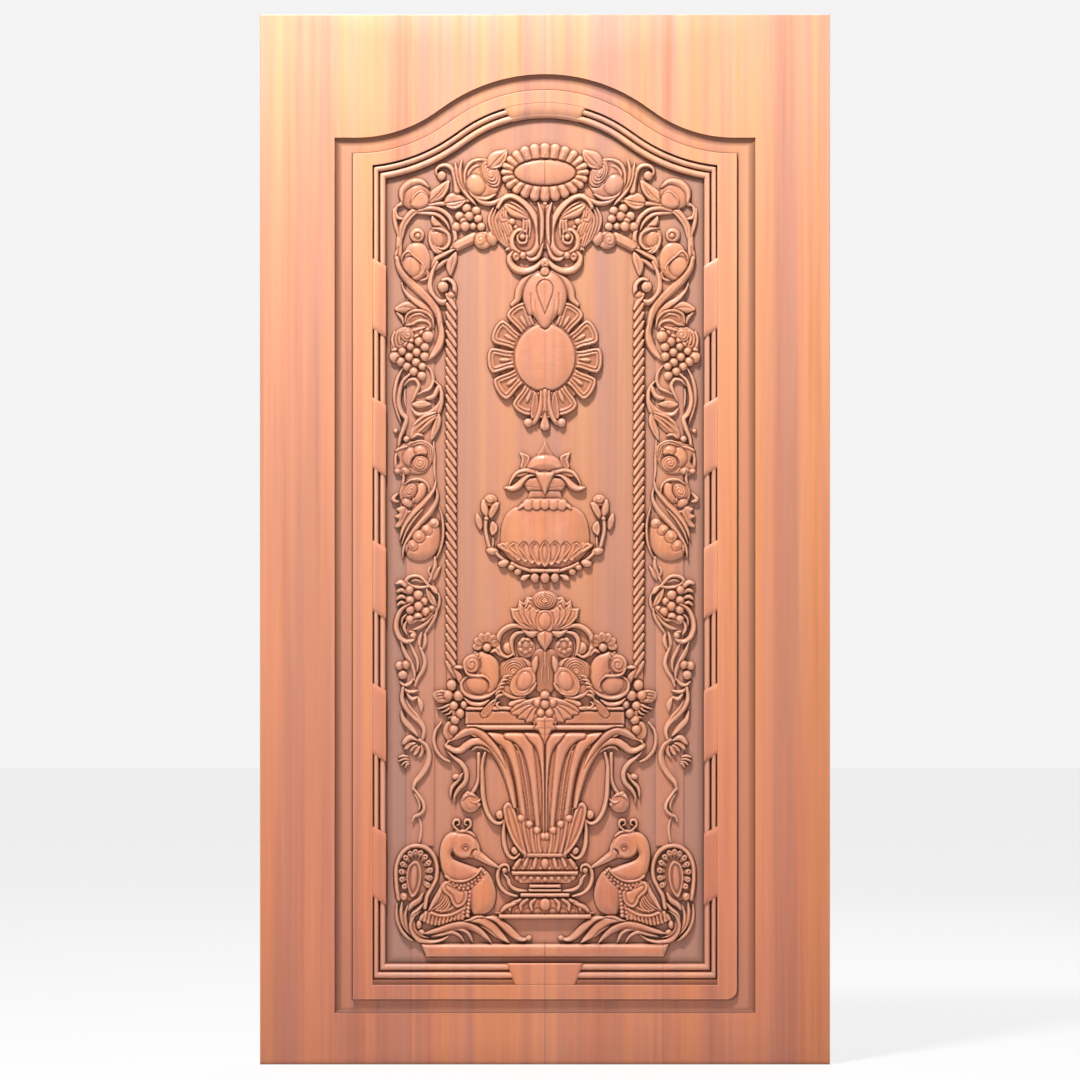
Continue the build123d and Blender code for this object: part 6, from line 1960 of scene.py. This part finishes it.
# Plain blocks over the side reeds, clasps over the reeds at the crown and the foot, strips behind the vines

BLOCK_TOPS = (258, 397, 540, 683, 826)
BLOCK_ROWS = 71
BLOCK_DROP = 8
BLOCK_HEIGHT = GROUND_DEPTH - 0.3
BAND_X = LEAF_WIDTH / 2 - STILE - BAND_LINE[0]
GROUND_X = LEAF_WIDTH / 2 - STILE - GROUND_LINE[0]
CLASP_HEIGHT = GROUND_DEPTH - 0.8
FOOT_CLASP = (76, 61)
CROWN_CLASP = (82, 66)
CROWN_HEIGHT = GROUND_DEPTH - 0.2
CROWN_BELLY = 9.0
STRIP_ROWS = (250, 846)
STRIP_OUTER = 278
STRIP_INNER = 221
STRIP_HEIGHT = 3.0

# How far the start, end, outer and inner edges of each are rounded down
BLOCK_EDGES = (3.0, 3.0, 0.0, 1.2)
FOOT_EDGES = (3.5, 0.0, 0.6, 1.8)
CROWN_EDGES = (3.5, 0.0, 0.0, 0.6)
STRIP_OUTER_EDGES = (0.0, 0.0, 1.4, 0.0)
STRIP_INNER_EDGES = (0.0, 0.0, 0.0, 1.4)


def add_cushion(name, board, place, height, drops, belly=0.0):
    """A block, clasp or strip as a piece of its board."""
    mesh = cushion_mesh(name, place, height, drops, belly)
    shade(mesh)
    finish_piece(mesh, name, board, teak_material)


def strip_between(first, last):
    """The place of a flat strip behind the vine, between two sides."""

    def place(along, inward):
        top, foot = up(STRIP_ROWS[0]), up(STRIP_ROWS[1])
        return first + (last - first) * inward, foot + (top - foot) * along

    return place


def side_block(side, top):
    """The place of a side block whose upper outer corner is at a row of the photo."""

    def place(along, inward):
        x = side * (BAND_X + (GROUND_X - BAND_X) * inward)
        return x, up(top + BLOCK_DROP * inward + BLOCK_ROWS * (1 - along))

    return place


def foot_clasp(side):
    """The place of one half of the clasp at the foot, from its end to the middle seam."""

    def place(along, inward):
        half = FOOT_CLASP[0] + (FOOT_CLASP[1] - FOOT_CLASP[0]) * (1 - inward)
        z = FOOT_RAIL + BAND_LINE[1] + (GROUND_LINE[1] - BAND_LINE[1]) * inward
        return side * half * (1 - along), z

    return place


def crown_clasp(side):
    """The place of one half of the clasp under the arch's crown, bent to the arch."""

    def place(along, inward):
        inset = BAND_LINE[2] + (GROUND_LINE[2] - BAND_LINE[2]) * inward
        radius = CROWN_RADIUS - inset
        half = CROWN_CLASP[0] + (CROWN_CLASP[1] - CROWN_CLASP[0]) * inward
        angle = asin(half / radius) * (1 - along)
        return side * radius * sin(angle), LEAF_HEIGHT - HEAD_RAIL - CROWN_RADIUS + radius * cos(angle)

    return place


SIDES = ((-1, BOARDS[0], BOARDS[1], SEAMS[0]), (1, BOARDS[3], BOARDS[2], SEAMS[2]))
for side, edge_board, middle_board, seam in SIDES:
    for number, top in enumerate(BLOCK_TOPS, 1):
        name = f"{edge_board}_plain_block_{number}"
        add_cushion(name, edge_board, side_block(side, top), BLOCK_HEIGHT, BLOCK_EDGES)
    add_cushion(middle_board + "_foot_clasp", middle_board, foot_clasp(side), CLASP_HEIGHT, FOOT_EDGES)
    name = middle_board + "_crown_clasp"
    add_cushion(name, middle_board, crown_clasp(side), CROWN_HEIGHT, CROWN_EDGES, CROWN_BELLY)

for side, edge_board, middle_board, seam in SIDES:
    outside = strip_between(side * STRIP_OUTER, seam)
    inside = strip_between(seam, side * STRIP_INNER)
    add_cushion(edge_board + "_strip", edge_board, outside, STRIP_HEIGHT, STRIP_OUTER_EDGES)
    add_cushion(middle_board + "_strip", middle_board, inside, STRIP_HEIGHT, STRIP_INNER_EDGES)

relief_pieces(teak_material)

tongue_material = plain_wood()
for name in TONGUES:
    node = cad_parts[name]
    node.data.materials.clear()
    node.data.materials.append(tongue_material)


# Floor, light and camera

FLOOR_REACH = 14.0
FLOOR_DROP = 0.0005
FLOOR_GREY = 0.82
FLOOR_ROUGHNESS = 0.9
FLOOR_GLOW = 0.82
DIM_COLOUR = (0.92, 0.95, 1.0)
DIM_STRENGTH = 0.11
WHITE = (1, 1, 1, 1)
PALE_STRENGTH = 0.9

# Each lamp's name, place, size and power
LAMPS = (
    ("key", (-0.7, -2.0, 4.7), 0.5, 254),
    ("fill", (-1.4, -5.2, 0.9), 2.6, 13),
    ("back", (1.5, 3.4, 3.0), 2.0, 50),
)
PHOTO_SIDE = 1080
LENS = 180
SENSOR = 36
FARTHEST = 60


def background_rays(nodes, links):
    """1 for the rays that show the background: to the camera, mirrored or through glass."""
    rays = nodes.new("ShaderNodeLightPath")
    seen = arithmetic(nodes, links, "ADD", rays.outputs["Is Camera Ray"], rays.outputs["Is Glossy Ray"],
                      clamp=True)
    return arithmetic(nodes, links, "ADD", seen, rays.outputs["Is Transmission Ray"], clamp=True)


def pale_floor():
    """A wide pale floor, with nothing that stands in the way of any view."""
    mesh = bpy.data.meshes.new("floor")
    sheet = bmesh.new()
    corners = [(-FLOOR_REACH, -FLOOR_REACH), (FLOOR_REACH, -FLOOR_REACH),
               (FLOOR_REACH, FLOOR_REACH), (-FLOOR_REACH, FLOOR_REACH)]
    sheet.faces.new([sheet.verts.new((x, y, -FLOOR_DROP)) for x, y in corners])
    sheet.to_mesh(mesh)
    sheet.free()
    floor = bpy.data.objects.new("floor", mesh)
    bpy.context.scene.collection.objects.link(floor)
    material, nodes, links = nodes_of("pale_floor")
    shader = nodes["Principled BSDF"]
    shader.inputs["Base Color"].default_value = (FLOOR_GREY, FLOOR_GREY, FLOOR_GREY, 1)
    shader.inputs["Roughness"].default_value = FLOOR_ROUGHNESS
    glow = nodes.new("ShaderNodeEmission")
    glow.inputs["Color"].default_value = WHITE
    blend = nodes.new("ShaderNodeMixShader")
    share = arithmetic(nodes, links, "MULTIPLY", background_rays(nodes, links), FLOOR_GLOW)
    links.new(share, blend.inputs["Fac"])
    links.new(shader.outputs[0], blend.inputs[1])
    links.new(glow.outputs[0], blend.inputs[2])
    links.new(blend.outputs[0], nodes["Material Output"].inputs["Surface"])
    mesh.materials.append(material)


def pale_surroundings():
    """A dim world as light, which looks pale as a background."""
    world = bpy.data.worlds.new("studio")
    bpy.context.scene.world = world
    world.use_nodes = True
    nodes = world.node_tree.nodes
    links = world.node_tree.links
    dim = nodes["Background"]
    dim.inputs["Color"].default_value = (*DIM_COLOUR, 1)
    dim.inputs["Strength"].default_value = DIM_STRENGTH
    pale = nodes.new("ShaderNodeBackground")
    pale.inputs["Color"].default_value = WHITE
    pale.inputs["Strength"].default_value = PALE_STRENGTH
    blend = nodes.new("ShaderNodeMixShader")
    links.new(background_rays(nodes, links), blend.inputs["Fac"])
    links.new(dim.outputs[0], blend.inputs[1])
    links.new(pale.outputs[0], blend.inputs[2])
    links.new(blend.outputs[0], nodes["World Output"].inputs["Surface"])


def area_light(name, place, target, size, power):
    """A soft square lamp that points at a place."""
    lamp = bpy.data.lights.new(name, "AREA")
    lamp.size = size
    lamp.energy = power
    holder = bpy.data.objects.new(name, lamp)
    holder.location = place
    direction = Vector(target) - Vector(place)
    holder.rotation_euler = direction.to_track_quat("-Z", "Y").to_euler()
    bpy.context.scene.collection.objects.link(holder)


def camera():
    """A long lens square to the leaf's front, framed as the photo is."""
    lens = bpy.data.cameras.new("camera")
    lens.lens = LENS
    lens.sensor_width = SENSOR
    seen = PHOTO_SIDE * PIXEL * MM
    distance = seen * lens.lens / lens.sensor_width
    holder = bpy.data.objects.new("camera", lens)
    holder.location = (across(PHOTO_SIDE / 2) * MM, FRONT_Y * MM - distance, up(PHOTO_SIDE / 2) * MM)
    holder.rotation_euler = (pi / 2, 0, 0)
    lens.clip_end = FARTHEST
    bpy.context.scene.collection.objects.link(holder)
    bpy.context.scene.camera = holder


pale_floor()
pale_surroundings()
middle = (0, 0, LEAF_HEIGHT * MM / 2)
for name, place, size, power in LAMPS:
    area_light(name, place, middle, size, power)
bpy.context.scene.view_settings.view_transform = "Standard"
camera()
